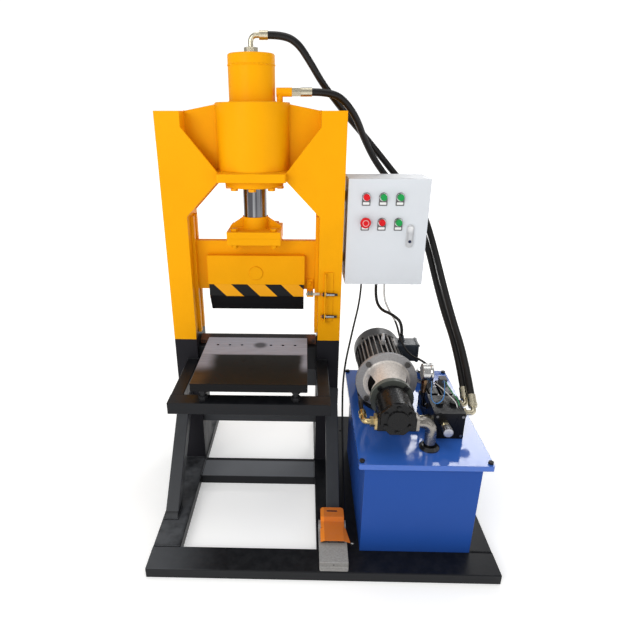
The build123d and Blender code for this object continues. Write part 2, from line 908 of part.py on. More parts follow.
panel_front = box_back - 14
with BuildPart() as switchgear:
    panel = facing(box_mid_x, panel_front, box_mid_z)
    soft_block(panel, box_wide - 50, box_tall - 60, 4, 2)
    for x in (box_mid_x - 100, box_mid_x + 100):
        for z in (box_mid_z - 140, box_mid_z + 140):
            disc(facing(x, box_back - box_sheet, z), 6, box_back - box_sheet - panel_front + 1)
    soft_block(facing(box_mid_x, panel_front - 2, box_mid_z + 60), box_wide - 70, 35, 1, 7)
    soft_block(facing(box_mid_x, panel_front - 2, box_mid_z - 80), box_wide - 70, 35, 1, 7)
    for x in (-80, -30, 20):
        soft_block(facing(box_mid_x + x, panel_front - 8, box_mid_z + 60), 45, 78, 3, 45)
        soft_block(facing(box_mid_x + x, panel_front - 52, box_mid_z + 60), 36, 50, 3, 22)
    soft_block(facing(box_mid_x + 75, panel_front - 8, box_mid_z + 60), 54, 82, 2, 60)
    for number in range(12):
        x = box_mid_x - 77 + 14 * number
        soft_block(facing(x, panel_front - 8, box_mid_z - 80), 12, 46, 1, 34)
    for x in gland_xs:
        hexagon(level(x, gland_y, box_low - 7), 22, 7)
        turned(Plane(origin=spot(x, gland_y, 0), x_dir=(0, 0, 1), z_dir=(0, 1, 0)), [
            (box_low - 7, 0),
            (box_low - 7, 10),
            (box_low - 20, 10),
            (box_low - entry_drop, 7),
            (box_low - entry_drop, 0),
        ])
        disc(level(x, gland_y, box_low), entry_radius - fit_gap, 12)
        hexagon(level(x, gland_y, box_low + box_sheet), 20, 5)
hand_over("switchgear", switchgear.part)

with BuildPart() as box_door:
    soft_block(facing(box_mid_x, door_back, box_mid_z), box_wide, box_tall, 1.5, door_back - door_front)
    pan = facing(box_mid_x, door_back, box_mid_z)
    deep = door_back - door_front - door_sheet
    soft_block(pan, box_wide - 2 * door_sheet, box_tall - 2 * door_sheet, 1, deep, mode=Mode.SUBTRACT)
    for z in hinge_zs:
        notch = beside(box_left, (hinge_y + door_back) / 2, z)
        soft_block(notch, door_back - hinge_y + 8, hinge_arm + 8, 1, hinge_in + 4, mode=Mode.SUBTRACT)
        for low in (z - 2 * hinge_arm + 2, z + hinge_arm / 2 + 1):
            disc(level(hinge_x, hinge_y, low), door_barrel, hinge_arm + 3)
            disc(level(hinge_x, hinge_y, low), hinge_pin + run_gap, hinge_arm + 3, mode=Mode.SUBTRACT)
    for x in button_cols:
        for z in button_rows:
            disc(facing(x, door_back, z), button_hole, door_back - door_front, mode=Mode.SUBTRACT)
    disc(facing(lock_x, door_back, lock_z), lock_bush + fit_gap, door_back - door_front, mode=Mode.SUBTRACT)
hand_over("box_door", box_door.part)

bezel_front = door_front - legend_thick - bezel_thick
with BuildPart() as door_fittings:
    for x in button_cols:
        for z in button_rows:
            with BuildSketch(facing(x, door_front, z)) as holder:
                Circle(16)
                with Locations((0, -14)):
                    RectangleRounded(31, 36, 3)
            extrude(holder.sketch, amount=legend_thick, dir=(0, -1, 0))
            disc(facing(x, door_front - legend_thick, z), bezel_radius, bezel_thick)
            disc(facing(x, door_front + 20, z), button_hole - fit_gap, 20)
            soft_block(facing(x, door_front + 48, z - 2), 28, 40, 2, 30)
            disc(facing(x, door_front + 12, z), stem_radius + slide_gap, 30, mode=Mode.SUBTRACT)
            disc(facing(x, door_front + 40, z), plunger_radius + slide_gap, 40, mode=Mode.SUBTRACT)
    plate_mid = facing(lock_x, door_front, lock_z - lock_drop)
    soft_block(plate_mid, lock_plate_wide, lock_plate_tall, 12, 4)
    disc(facing(lock_x, door_front + 14, lock_z), lock_bush, 14)
    disc(facing(lock_x, door_front + 14, lock_z), lock_spindle + slide_gap, 20, mode=Mode.SUBTRACT)
hand_over("door_fittings", door_fittings.part)


def push_button(x, z):
    """Raised cap with its stem and plunger."""
    cap_back = bezel_front - cap_lift
    disc(facing(x, cap_back, z), cap_radius, cap_thick_push)
    disc(facing(x, door_front + 4, z), stem_radius, door_front + 4 - cap_back)
    disc(facing(x, door_front + 30, z), plunger_radius, 27)


left_col, middle_col, right_col = button_cols
upper_row, lower_row = button_rows
button_places = {
    "button_red_upper": (left_col, upper_row),
    "button_green_upper_middle": (middle_col, upper_row),
    "button_green_upper_right": (right_col, upper_row),
    "button_red_lower": (middle_col, lower_row),
    "button_green_lower": (right_col, lower_row),
}
for button_name, (x, z) in button_places.items():
    with BuildPart() as push:
        push_button(x, z)
        fillet(push.edges().filter_by(GeomType.CIRCLE).sort_by(Axis.Y)[0], 1)
    hand_over(button_name, push.part)

stop_line = Plane(origin=spot(left_col, 0, lower_row), x_dir=(0, 1, 0), z_dir=(1, 0, 0))
with BuildPart() as emergency_stop:
    turned(stop_line, [
        (bezel_front - 22, 0),
        (bezel_front - 21, stop_radius - 7),
        (bezel_front - 17, stop_radius - 1),
        (bezel_front - 13, stop_radius),
        (bezel_front - 9, stop_radius - 1),
        (bezel_front - 7, stop_radius - 5),
        (bezel_front - 6, stem_radius),
        (door_front + 4, stem_radius),
        (door_front + 4, plunger_radius),
        (door_front + 30, plunger_radius),
        (door_front + 30, 0),
    ])
hand_over("emergency_stop", emergency_stop.part)

with BuildPart() as lock_lever:
    lever_back = door_front - 4 - slide_gap
    cam_back = box_front + 12
    soft_block(facing(lock_x, lever_back, lock_z - lock_drop), 20, lock_plate_tall - 11, 9, 7)
    soft_block(facing(lock_x, lever_back - 6, lock_z - lock_drop + 8), 14, 48, 6, 4)
    disc(facing(lock_x, lever_back - 6, lock_z - 29), 5, 5)
    disc(facing(lock_x, cam_back, lock_z), lock_spindle, cam_back - lever_back)
    soft_block(facing(lock_x, cam_back, lock_z + lock_cam_reach / 2 - 4.5), 16, lock_cam_reach + 9, 3, 4)
hand_over("lock_lever", lock_lever.part)

# Tank with lid
tank_wide = tank_right - tank_left
tank_deep = tank_rear - tank_front
tank_mid_x = (tank_left + tank_right) / 2
tank_mid_y = (tank_front + tank_rear) / 2
lid_under = lid_top - lid_plate
inner_left = tank_left + tank_sheet
inner_right = tank_right - tank_sheet
inner_front = tank_front + tank_sheet
inner_rear = tank_rear - tank_sheet
wall_tall = lid_under - base_height
with BuildPart() as tank_shell:
    for y in (tank_front + tank_sheet / 2, tank_rear - tank_sheet / 2):
        soft_block(level(tank_mid_x, y, base_height), tank_wide, tank_sheet, 1.5, wall_tall)
with BuildPart() as tank_left_wall:
    left_mid = level(tank_left + tank_sheet / 2, tank_mid_y, base_height)
    block(left_mid, tank_sheet, inner_rear - inner_front, wall_tall)
with BuildPart() as tank_right_wall:
    right_mid = level(tank_right - tank_sheet / 2, tank_mid_y, base_height)
    block(right_mid, tank_sheet, inner_rear - inner_front, wall_tall)
    drain = beside(tank_right, tank_rear - 80, base_height + 40)
    hexagon(drain, 32, 8)
    hexagon(drain.offset(8), 24, 8)
with BuildPart() as tank_floor:
    floor_spot = level(tank_mid_x, tank_mid_y, base_height)
    block(floor_spot, inner_right - inner_left, inner_rear - inner_front, tank_sheet)
tank_plates = (tank_shell, tank_left_wall, tank_right_wall, tank_floor)
hand_over("tank_shell", Compound([solid for plate in tank_plates for solid in plate.solids()]))

with BuildPart() as tank_lid:
    lid_wide = tank_wide + 2 * lid_side
    lid_deep = tank_deep + 2 * lid_end
    soft_block(level(tank_mid_x, tank_mid_y, lid_top - lid_lip), lid_wide, lid_deep, 6, lid_lip)
    under = level(tank_mid_x, tank_mid_y, lid_top - lid_lip)
    soft_block(under, lid_wide - 6, lid_deep - 6, 4, lid_lip - lid_plate, mode=Mode.SUBTRACT)
    disc(level(suction_x, suction_y, lid_under), suction_hole, lid_plate, mode=Mode.SUBTRACT)
    turned(Plane(origin=spot(filler_x, filler_y, 0), x_dir=(0, 0, 1), z_dir=(0, 1, 0)), [
        (lid_top, filler_bore + slide_gap),
        (lid_top, 36),
        (lid_top + 5, 36),
        (lid_top + 5, 28),
        (lid_top + 11, 28),
        (lid_top + 11, filler_bore + slide_gap),
    ])
    disc(level(filler_x, filler_y, lid_under), filler_bore + slide_gap, lid_plate, mode=Mode.SUBTRACT)
    turned(Plane(origin=spot(suction_x, suction_y, 0), x_dir=(0, 0, 1), z_dir=(0, 1, 0)), [
        (lid_top, suction_hole),
        (lid_top, 34),
        (lid_top + 6, 34),
        (lid_top + 14, 26),
        (lid_top + 14, suction_hole),
    ])
hand_over("tank_lid", tank_lid.part)

with BuildPart() as filler_cap:
    turned(Plane(origin=spot(filler_x, filler_y, 0), x_dir=(0, 0, 1), z_dir=(0, 1, 0)), [
        (lid_top + 12, 0),
        (lid_top + 12, 30),
        (lid_top + 18, 34),
        (lid_top + 44, 34),
        (lid_top + 52, 28),
        (lid_top + 54, 0),
    ])
    with Locations(level(filler_x, filler_y, lid_top + 30)):
        with PolarLocations(35.5, 16):
            Cylinder(3, 30, mode=Mode.SUBTRACT)
    disc(level(filler_x, filler_y, lid_top - 20), filler_bore, 34)
hand_over("filler_cap", filler_cap.part)

# Motor, shaft line, bell housing and pump
with BuildPart() as motor_frame:
    with BuildSketch(facing(motor_x, motor_rear, motor_z)) as finned:
        Circle(frame_radius)
        with PolarLocations((frame_radius + fin_radius) / 2 - 3, fin_count):
            Rectangle(fin_radius - frame_radius + 6, fin_thick)
    extrude(finned.sketch, amount=motor_rear - motor_front - 14, dir=(0, -1, 0))
    disc(facing(motor_x, motor_front + 14, motor_z), bell_radius - 9, 14)
    for side in (-1, 1):
        foot_x = motor_x + side * 68
        soft_block(level(foot_x, feet_y, lid_top), 44, 150, 4, 14)
        soft_block(level(foot_x - side * 6, feet_y, lid_top), 14, 130, 3, 90)
    terminal_left = motor_x + 50
    terminal_box = beside(terminal_left, terminal_y, terminal_z)
    soft_block(terminal_box, 70, 72, 5, terminal_right - terminal_left)
    soft_block(beside(terminal_right, terminal_y, terminal_z), 76, 78, 6, 8)
    hexagon(level(terminal_gland_x, terminal_y, terminal_z + 36), 24, 8)
    disc(level(terminal_gland_x, terminal_y, terminal_z + 44), 10, 16)
    disc(level(motor_x, eye_y, motor_z + frame_radius - 5), 12, fin_radius - frame_radius + 10)
    with Locations(beside(motor_x, eye_y, motor_z + fin_radius + 21)):
        Torus(14, 4.5)
    motor_back = facing(motor_x, motor_rear, motor_z)
    motor_long = motor_rear - motor_front
    disc(motor_back, rotor_radius + 2, motor_long - 26, mode=Mode.SUBTRACT)
    disc(motor_back, shaft_radius + run_gap, motor_long, mode=Mode.SUBTRACT)
hand_over("motor_frame", motor_frame.part)

with BuildPart() as fan_cover:
    turned(motor_line(), [
        (motor_rear, cowl_radius - 3),
        (motor_rear, cowl_radius),
        (cowl_rear - 12, cowl_radius),
        (cowl_rear, cowl_radius - 14),
        (cowl_rear, 0),
        (cowl_rear - 3, 0),
        (cowl_rear - 3, cowl_radius - 16),
        (cowl_rear - 13, cowl_radius - 3),
    ])
    for ring_radius, holes in ((30, 8), (52, 14), (70, 20)):
        with Locations(facing(motor_x, cowl_rear, motor_z)):
            with PolarLocations(ring_radius, holes):
                Hole(6, depth=8)
    turned(motor_line(), [
        (motor_rear, shaft_radius + run_gap),
        (motor_rear, cowl_radius - 3),
        (motor_rear + 4, cowl_radius - 3),
        (motor_rear + 10, 40),
        (motor_rear + 10, shaft_radius + run_gap),
    ])
hand_over("fan_cover", fan_cover.part)

coupling_rear = motor_front - 22
coupling_front = bell_front + 22
rotor_front = pump_ring_front - 18
with BuildPart() as drive_shaft:
    turned(motor_line(), [
        (rotor_front - 70, 0),
        (rotor_front - 70, pump_rotor),
        (rotor_front, pump_rotor),
        (rotor_front, shaft_radius),
        (coupling_front, shaft_radius),
        (coupling_front, 40),
        (coupling_front + 36, 40),
        (coupling_front + 36, 34),
        (coupling_front + 48, 34),
        (coupling_front + 48, 40),
        (coupling_rear, 40),
        (coupling_rear, shaft_radius),
        (motor_front + 34, shaft_radius),
        (motor_front + 34, rotor_radius),
        (motor_rear - 20, rotor_radius),
        (motor_rear - 20, shaft_radius),
        (motor_rear + 18, shaft_radius),
        (motor_rear + 18, 26),
        (motor_rear + fan_rear, 26),
        (motor_rear + fan_rear, 0),
    ])
    for number in range(fan_blades):
        blade_root = spoke(motor_rear + fan_rear, number * 360 / fan_blades, fan_blade_mid)
        soft_block(blade_root, fan_blade_long, 4, 1.5, fan_deep)
    for number in range(6):
        soft_block(spoke(coupling_front + 50, number * 60, 36), 8, 14, 1, 16)
hand_over("drive_shaft", drive_shaft.part)

with BuildPart() as bell_housing:
    turned(motor_line(), [
        (motor_front, 76),
        (motor_front, bell_radius),
        (motor_front - bell_flange, bell_radius),
        (motor_front - bell_flange, 88),
        (motor_front - bell_flange - 6, 82),
        (bell_front + 12, 64),
        (bell_front + 12, 70),
        (bell_front, 70),
        (bell_front, 44),
        (bell_front + 12, 48),
        (bell_front + 20, 54),
        (motor_front - bell_flange - 6, 74),
    ])
    for side in (-1, 1):
        window = beside(motor_x + side * 20, (bell_front + motor_front) / 2 - 2, motor_z)
        way = window if side > 0 else Plane(origin=window.origin, x_dir=(0, 1, 0), z_dir=(-1, 0, 0))
        soft_block(way, 64, 84, 6, 100, mode=Mode.SUBTRACT)
    for turn in (45, 135, 225, 315):
        x = motor_x + bell_bolt_circle * cos(radians(turn))
        z = motor_z + bell_bolt_circle * sin(radians(turn))
        hexagon(facing(x, motor_front - bell_flange, z), 19, 9)
hand_over("bell_housing", bell_housing.part)

cavity_rear = rotor_front + 2
cavity_front = rotor_front - 72
with BuildPart() as pump:
    turned(motor_line(), [
        (bell_front, shaft_radius + run_gap),
        (bell_front, pump_ring_radius),
        (pump_ring_front, pump_ring_radius),
        (pump_ring_front, pump_radius - 4),
        (pump_ring_front - 14, pump_radius - 4),
        (pump_ring_front - 14, pump_radius),
        (pump_front + pump_cover, pump_radius),
        (pump_front + pump_cover, 0),
        (cavity_front, 0),
        (cavity_front, pump_cavity),
        (cavity_rear, pump_cavity),
        (cavity_rear, shaft_radius + run_gap),
    ])
    with BuildSketch(facing(motor_x, pump_front + pump_cover, motor_z)) as nose:
        RegularPolygon(57, 8, major_radius=False, rotation=22.5)
    extrude(nose.sketch, amount=10, taper=8, dir=(0, -1, 0))
    disc(facing(motor_x, pump_front + 6, motor_z), 34, 6)
    for turn in range(0, 360, 60):
        x = motor_x + 45 * cos(radians(turn + 30))
        z = motor_z + 45 * sin(radians(turn + 30))
        hexagon(facing(x, pump_front + 7, z), 13, 7)
    for turn in (45, 135, 225, 315):
        x = motor_x + 65 * cos(radians(turn))
        z = motor_z + 65 * sin(radians(turn))
        hexagon(facing(x, pump_ring_front, z), 15, 8)
    for side in (-1, 1):
        soft_block(beside(motor_x + side * (port_face - 22) - 22, suction_y, suction_z), 46, 50, 6, 44)
    disc(facing(motor_x, cavity_rear, motor_z), pump_cavity, cavity_rear - cavity_front, mode=Mode.SUBTRACT)
    for side in (-1, 1):
        port = beside(motor_x + side * port_face - 18, suction_y, suction_z)
        disc(port, 11, 36, mode=Mode.SUBTRACT)
hand_over("pump", pump.part)

# Fittings: suction elbow, pressure elbow, hose elbows and the two cylinder ports
elbow_one = (block_right, elbow_one_y, elbow_z)
elbow_two = (block_right, elbow_two_y, elbow_z)
hose_way = (0, cos(radians(hose_rise)), sin(radians(hose_rise)))


def hose_end(start, reach, back, lift):
    """Elbow from the valve block to the ferrule of a hose."""
    bend = (start[0] + reach, start[1], start[2])
    tip = ahead(bend, hose_way, back)
    tube_along([start, bend, tip], 18, radii=[12])
    hexagon(beside(*start), 28, 9)
    ferrule = Plane(origin=spot(*tip), z_dir=hose_way)
    disc(ferrule, 15, lift)
    disc(ferrule.offset(8), 16.5, 6)
    return ahead(tip, hose_way, lift)


with BuildPart() as port_fittings:
    suction_start = (motor_x + port_face, suction_y, suction_z)
    soft_block(beside(*suction_start), 46, 50, 6, 10)
    elbow_start = (motor_x + port_face + 8, suction_y, suction_z)
    elbow_corner = (suction_x, suction_y, suction_z)
    elbow_end = (suction_x, suction_y, lid_under - 60)
    tube_along([elbow_start, elbow_corner, elbow_end], 38, radii=[34])
    pressure_start = (motor_x - port_face, suction_y, suction_z)
    left_plane = Plane(origin=spot(*pressure_start), x_dir=(0, 1, 0), z_dir=(-1, 0, 0))
    soft_block(left_plane, 44, 44, 6, 8)
    hexagon(left_plane.offset(8), 30, 14)
    pump_out = (motor_x - port_face - 20, suction_y, suction_z)
    pump_corner = (motor_x - port_face - 42, suction_y, suction_z)
    pump_tip = (pump_corner[0], suction_y + 30, suction_z)
    tube_along([pump_out, pump_corner, pump_tip], 20, radii=[14])
    pump_ferrule = Plane(origin=spot(*pump_tip), z_dir=(0, 1, 0))
    disc(pump_ferrule, 13, pump_ferrule_long)
    hose_one_end = hose_end(elbow_one, elbow_one_reach, 20, 45)
    hose_two_end = hose_end(elbow_two, elbow_two_reach, 20, 45)
    hexagon(facing(relief_x, block_front, relief_z), 28, 16)
    disc(facing(relief_x, block_front - 16, relief_z), 11, 10)
    disc(facing(relief_x, block_front - 20, relief_z), relief_spindle + slide_gap, 10, mode=Mode.SUBTRACT)
    pump_in = Plane(origin=spot(block_left, pump_in_y, pump_in_z), x_dir=(0, 1, 0), z_dir=(-1, 0, 0))
    hexagon(pump_in, 28, 9)
    disc(pump_in.offset(9), 13, 22)
    hexagon(level(0, axis_y, cap_top), 42, 20)
    elbow_top = cap_top + elbow_rise
    tube_along([(0, axis_y, cap_top + 18), (0, axis_y, elbow_top), (34, axis_y, elbow_top)], 18, radii=[20])
    disc(beside(30, axis_y, elbow_top), 15, 30)
    side_face = port_start + port_block_long
    hexagon(beside(side_face, neck_y, port_z), 27, 30)
    disc(beside(side_face + 30, neck_y, port_z), 15, 40)
hand_over("port_fittings", port_fittings.part)

# Valve block with valves, coils, relief knob and gauge
with BuildPart() as valve_block:
    block_mid = (block_left + block_right) / 2
    wide = block_right - block_left
    front_deep = block_step - block_front
    front_spot = level(block_mid, (block_front + block_step) / 2, lid_top)
    soft_block(front_spot, wide, front_deep, 3, block_high - lid_top)
    rear_deep = block_rear - block_step
    rear_spot = level(block_mid, (block_step + block_rear) / 2 - 2, lid_top)
    soft_block(rear_spot, wide, rear_deep + 4, 3, block_low_top - lid_top)
    for x in valve_xs:
        soft_block(level(x, valve_y, block_low_top), 44, 74, 3, 44)
        soft_block(level(x, valve_y, block_low_top + 43), 30, 50, 3, 8)
    for x in (block_left + 30, block_right - 30):
        hexagon(level(x, block_front + 60, block_high), 22, 9)
hand_over("valve_block", valve_block.part)

with BuildPart() as valve_coils:
    for x in valve_xs:
        coil = Plane(origin=spot(x, coil_front, block_low_top + 22), x_dir=(1, 0, 0), z_dir=(0, 1, 0))
        soft_block(coil, 44, 42, 6, 52)
        disc(coil.offset(52), 12, 12)
        soft_block(level(x, plug_y, block_low_top + 42), 28, 30, 3, 26)
hand_over("valve_coils", valve_coils.part)

with BuildPart() as relief_knob:
    knob = facing(relief_x, block_front - 30, relief_z)
    with BuildSketch(knob) as grip:
        Circle(17)
        with PolarLocations(18.5, 12):
            Circle(2.4, mode=Mode.SUBTRACT)
    extrude(grip.sketch, amount=26, dir=(0, -1, 0))
    disc(facing(relief_x, block_front - 21, relief_z), relief_spindle, 12)
hand_over("relief_knob", relief_knob.part)

gauge_x = block_left - gauge_stand
with BuildPart() as gauge:
    gauge_line = Plane(origin=spot(gauge_x - 13, gauge_y, gauge_z), x_dir=(1, 0, 0), z_dir=(0, -1, 0))
    turned(gauge_line, [
        (-2, 0),
        (-2, gauge_radius - 6),
        (0, gauge_radius - 2),
        (24, gauge_radius - 2),
        (28, gauge_radius),
        (34, gauge_radius),
        (34, gauge_radius - 4),
        (30, gauge_radius - 5),
        (30, 0),
    ])
    stem_top = gauge_z - gauge_radius + 6
    hexagon(level(gauge_x, gauge_y, stem_top - 20), 17, 20)
    disc(level(gauge_x, gauge_y, stem_top - 52), 9, 34)
    tap = Plane(origin=spot(block_left, gauge_y, gauge_tap_z), x_dir=(0, 1, 0), z_dir=(-1, 0, 0))
    hexagon(tap, 17, 7)
    tap_start = (block_left - 5, gauge_y, gauge_tap_z)
    tap_corner = (gauge_x, gauge_y, gauge_tap_z)
    tap_top = (gauge_x, gauge_y, stem_top - 50)
    tube_along([tap_start, tap_corner, tap_top], 10, radii=[9])
hand_over("gauge", gauge.part)

# Foot switch
switch_mid_x = (switch_left + switch_right) / 2
switch_gland_x = switch_right - 9
pedal_z = base_height + pedal_pin_rise
switch_wide = switch_right - switch_left
with BuildPart() as switch_body:
    body_outline = [
        (switch_front, base_height),
        (switch_rear, base_height),
        (switch_rear, base_height + switch_high - 4),
        (switch_rear - 4, base_height + switch_high),
        (pedal_pin_y - 5, base_height + switch_high),
        (pedal_pin_y - 20, base_height + switch_step_high + 4),
        (switch_step_y, base_height + switch_step_high),
        (switch_front + 14, base_height + switch_step_high - 6),
        (switch_front + 9, base_height + switch_lip + 1),
        (switch_front, base_height + switch_lip),
    ]
    slab(beside(switch_left), body_outline, switch_wide)
    fillet(switch_body.edges().filter_by(Axis.Z).group_by(Axis.Y)[0], 6)
    room_outline = [
        (switch_step_y + switch_wall, base_height + 10),
        (switch_rear - switch_wall, base_height + 10),
        (switch_rear - switch_wall, base_height + 90),
        (switch_step_y + switch_wall, base_height + 90),
    ]
    slab(beside(switch_left + switch_wall), room_outline, switch_wide - 2 * switch_wall, mode=Mode.SUBTRACT)
    under_outline = [
        (switch_front + 15, base_height),
        (switch_step_y, base_height),
        (switch_step_y, base_height + switch_step_high - 6),
        (switch_front + 20, base_height + switch_step_high - 12),
    ]
    slab(beside(switch_left + switch_wall), under_outline, switch_wide - 2 * switch_wall, mode=Mode.SUBTRACT)
    disc(beside(switch_left + 2, pedal_pin_y, pedal_z), pedal_pin_radius, switch_wide - 4)
    soft_block(level(switch_mid_x, pedal_pin_y - 34, base_height + 9), 40, 26, 3, 16)
    disc(level(switch_mid_x, pedal_pin_y - 34, base_height + 24), 5, 14)
    gland_spot = spot(switch_gland_x, switch_rear, base_height + 24)
    gland_back = Plane(origin=gland_spot, x_dir=(1, 0, 0), z_dir=(0, 1, 0))
    hexagon(gland_back, 17, 7)
    disc(gland_back.offset(7), 7.5, 14)
hand_over("switch_body", switch_body.part)

tread_front_z = base_height + tread_front_rise
tread_rear_y = pedal_pin_y + 6
tread_rear_z = base_height + tread_rear_rise
riser_y = tread_rear_y + 8
riser_z = base_height + riser_rise
tongue_y = switch_rear + tongue_reach
tongue_z = base_height + tongue_rise
with BuildPart() as foot_pedal:
    pedal_outline = [
        (switch_step_y, tread_front_z - tread_sheet),
        (switch_step_y, tread_front_z),
        (tread_rear_y, tread_rear_z),
        (riser_y, riser_z),
        (tongue_y, tongue_z),
        (tongue_y, tongue_z - tread_sheet),
        (riser_y + tread_sheet, riser_z - tread_sheet),
        (tread_rear_y + tread_sheet, tread_rear_z - tread_sheet),
    ]
    slab(beside(tread_left), pedal_outline, tread_wide)
    fillet(foot_pedal.edges().filter_by(Axis.Z).group_by(Axis.Y)[-1], 12)
    slot_spot = level(tread_left + tread_wide / 2, tongue_y - 16, riser_z - 10)
    soft_block(slot_spot, 40, 8, 3.9, 30, mode=Mode.SUBTRACT)
    for inner_x, outer_x in ((fold_left, flare_left - 8), (fold_right, flare_right + 8)):
        corner = [
            (inner_x, switch_step_y - 10),
            (outer_x, switch_step_y - 10),
            (outer_x, flare_rear),
            (inner_x, flare_rear),
        ]
        slab(level(0, 0, base_height + 30), corner, 60, mode=Mode.SUBTRACT)
    tread_slope = atan2(tread_rear_z - tread_front_z, tread_rear_y - switch_step_y)
    tread_way = (0, cos(tread_slope), sin(tread_slope))
    tread_front = Plane(origin=spot(0, switch_step_y, tread_front_z), x_dir=(1, 0, 0), z_dir=tread_way)
    for inner_x, outer_x, drop in ((fold_left + 1, flare_left, 7), (fold_right - 1, flare_right, 9)):
        flare = [
            (inner_x, 0),
            (outer_x, drop),
            (outer_x, drop + tread_sheet),
            (inner_x, tread_sheet),
        ]
        slab(tread_front, flare, (flare_rear - switch_step_y) / cos(tread_slope))
    slab(level(0, 0, base_height + 30), [
        (flare_right + 1, switch_step_y - 1),
        (flare_right + 9, switch_step_y - 1),
        (flare_right + 9, flare_rear + 1),
        (fold_right + 9, flare_rear + 1),
    ], 40, mode=Mode.SUBTRACT)
    for x in (switch_left + 12, switch_right - 20):
        lug = [
            (pedal_pin_y - 12, tread_rear_z - 2),
            (pedal_pin_y - 9, pedal_z - 8),
            (pedal_pin_y + 9, pedal_z - 8),
            (pedal_pin_y + 8, tread_rear_z - 1),
        ]
        slab(beside(x), lug, 8)
        disc(beside(x, pedal_pin_y, pedal_z), pedal_pin_radius + run_gap, 8, mode=Mode.SUBTRACT)
hand_over("foot_pedal", foot_pedal.part)

# Hoses and cables
cord_runs = {
    "hose_top": (hose_across, [
        (60, axis_y, elbow_top),
        (112, axis_y, elbow_top),
        (162, 92, cap_top + 34),
        (204, 102, cap_top - 22),
        (250, 128, 1586),
        (296, 168, 1536),
        (340, 206, 1488),
        (396, 228, 1430),
        (474, 244, 1348),
        (560, 256, 1252),
        (648, 256, 1142),
        (718, 218, 1028),
        (764, -37, 775),
        ahead(hose_one_end, hose_way, 150),
        hose_one_end,
    ]),
    "hose_side": (hose_across, [
        (side_face + 70, neck_y, port_z),
        (264, neck_y, port_z),
        (322, 76, 1536),
        (376, 116, 1474),
        (418, 176, 1388),
        (482, 226, 1288),
        (576, 240, 1170),
        (670, 211, 1044),
        (742, 15, 777),
        ahead(hose_two_end, hose_way, 150),
        hose_two_end,
    ]),
    "pump_hose": (pump_hose_across, [
        (pump_tip[0], pump_tip[1] + pump_ferrule_long, suction_z),
        (pump_tip[0], pump_tip[1] + 70, suction_z),
        (398, -292, 526),
        (416, -250, 492),
        (456, -246, 464),
        (508, -276, 458),
        (556, pump_in_y, pump_in_z),
        (block_left - 31, pump_in_y, pump_in_z),
    ]),
    "motor_cable": (motor_cable_across, [
        (gland_xs[1], gland_y, box_low - entry_drop),
        (gland_xs[1], gland_y, box_low - 86),
        (504, 62, 742),
        (546, 8, 742),
        (terminal_gland_x, terminal_y, 722),
        (terminal_gland_x, terminal_y, terminal_z + 60),
    ]),
    "valve_cable": (valve_cable_across, [
        (gland_xs[2], gland_y, box_low - entry_drop),
        (gland_xs[2], gland_y, box_low - 82),
        (536, 62, 744),
        (562, 0, 712),
        (570, -70, 664),
        (596, -126, 630),
        (640, -160, 622),
        (valve_xs[0], plug_y, 600),
        (valve_xs[0], plug_y, block_low_top + 68),
    ]),
    "foot_cable": (foot_cable_across, [
        (gland_xs[0], gland_y, box_low - entry_drop),
        (gland_xs[0], gland_y, box_low - 90),
        (gland_xs[0] - 30, 70, 640),
        (358, 10, 470),
        (356, -70, 300),
        (356, -190, 150),
        (356, -268, 86),
        (354, -330, base_height + 27),
        (switch_gland_x, switch_rear + 50, base_height + 24),
        (switch_gland_x, switch_rear + 21, base_height + 24),
    ]),
}
for cord_name, (across, points) in cord_runs.items():
    with BuildPart() as cord:
        length, radii = tube_along(points, across)
    share = cord.part.volume / (pi * across ** 2 / 4 * length)
    bends = [round(radius) for radius in radii]
    print(cord_name, "length", round(length), "radii", bends, "volume share", round(share, 4))
    hand_over(cord_name, cord.part)
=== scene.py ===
import math

import bmesh
import bpy
from bpy.props import FloatProperty, FloatVectorProperty, IntProperty, PointerProperty
from mathutils import Matrix, Vector


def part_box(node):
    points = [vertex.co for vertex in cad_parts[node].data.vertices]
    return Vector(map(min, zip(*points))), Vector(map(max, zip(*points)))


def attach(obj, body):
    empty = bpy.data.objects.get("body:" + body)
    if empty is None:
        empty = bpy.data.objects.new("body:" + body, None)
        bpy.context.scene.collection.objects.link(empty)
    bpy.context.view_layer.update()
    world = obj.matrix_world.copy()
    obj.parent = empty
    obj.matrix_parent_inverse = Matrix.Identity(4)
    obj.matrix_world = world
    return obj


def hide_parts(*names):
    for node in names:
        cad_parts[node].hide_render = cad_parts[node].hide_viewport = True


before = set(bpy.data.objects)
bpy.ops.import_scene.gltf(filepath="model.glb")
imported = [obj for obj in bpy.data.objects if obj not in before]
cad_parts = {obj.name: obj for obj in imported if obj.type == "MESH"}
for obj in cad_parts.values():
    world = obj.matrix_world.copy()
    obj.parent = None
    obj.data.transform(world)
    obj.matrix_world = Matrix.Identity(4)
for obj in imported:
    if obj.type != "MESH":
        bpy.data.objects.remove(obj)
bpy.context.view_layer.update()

bl_info = {
    "name": "Stone Splitter Looks",
    "version": (1, 0, 0),
    "blender": (4, 5, 0),
    "location": "3D View > Sidebar > Splitter",
    "description": "Finishes, cords, welds and small parts of a hydraulic stone splitting machine",
    "category": "Object",
}

# Places in the machine are given from the press axis, the column faces and the floor, in metres
PRESS_X = sum(corner.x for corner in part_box("column_plates")) / 2
COLUMN_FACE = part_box("column_plates")[0].y
ORIGIN = Vector((PRESS_X, COLUMN_FACE, 0))


def spot(x, y, z):
    """Point of the shared frame for a place in the machine."""
    return ORIGIN + Vector((x, y, z))


def low_of(node):
    """Lowest corner of a CAD node, as a place in the machine."""
    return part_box(node)[0] - ORIGIN


def high_of(node):
    """Highest corner of a CAD node, as a place in the machine."""
    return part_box(node)[1] - ORIGIN


def middle_of(node):
    """Middle of a CAD node, as a place in the machine."""
    return (low_of(node) + high_of(node)) / 2


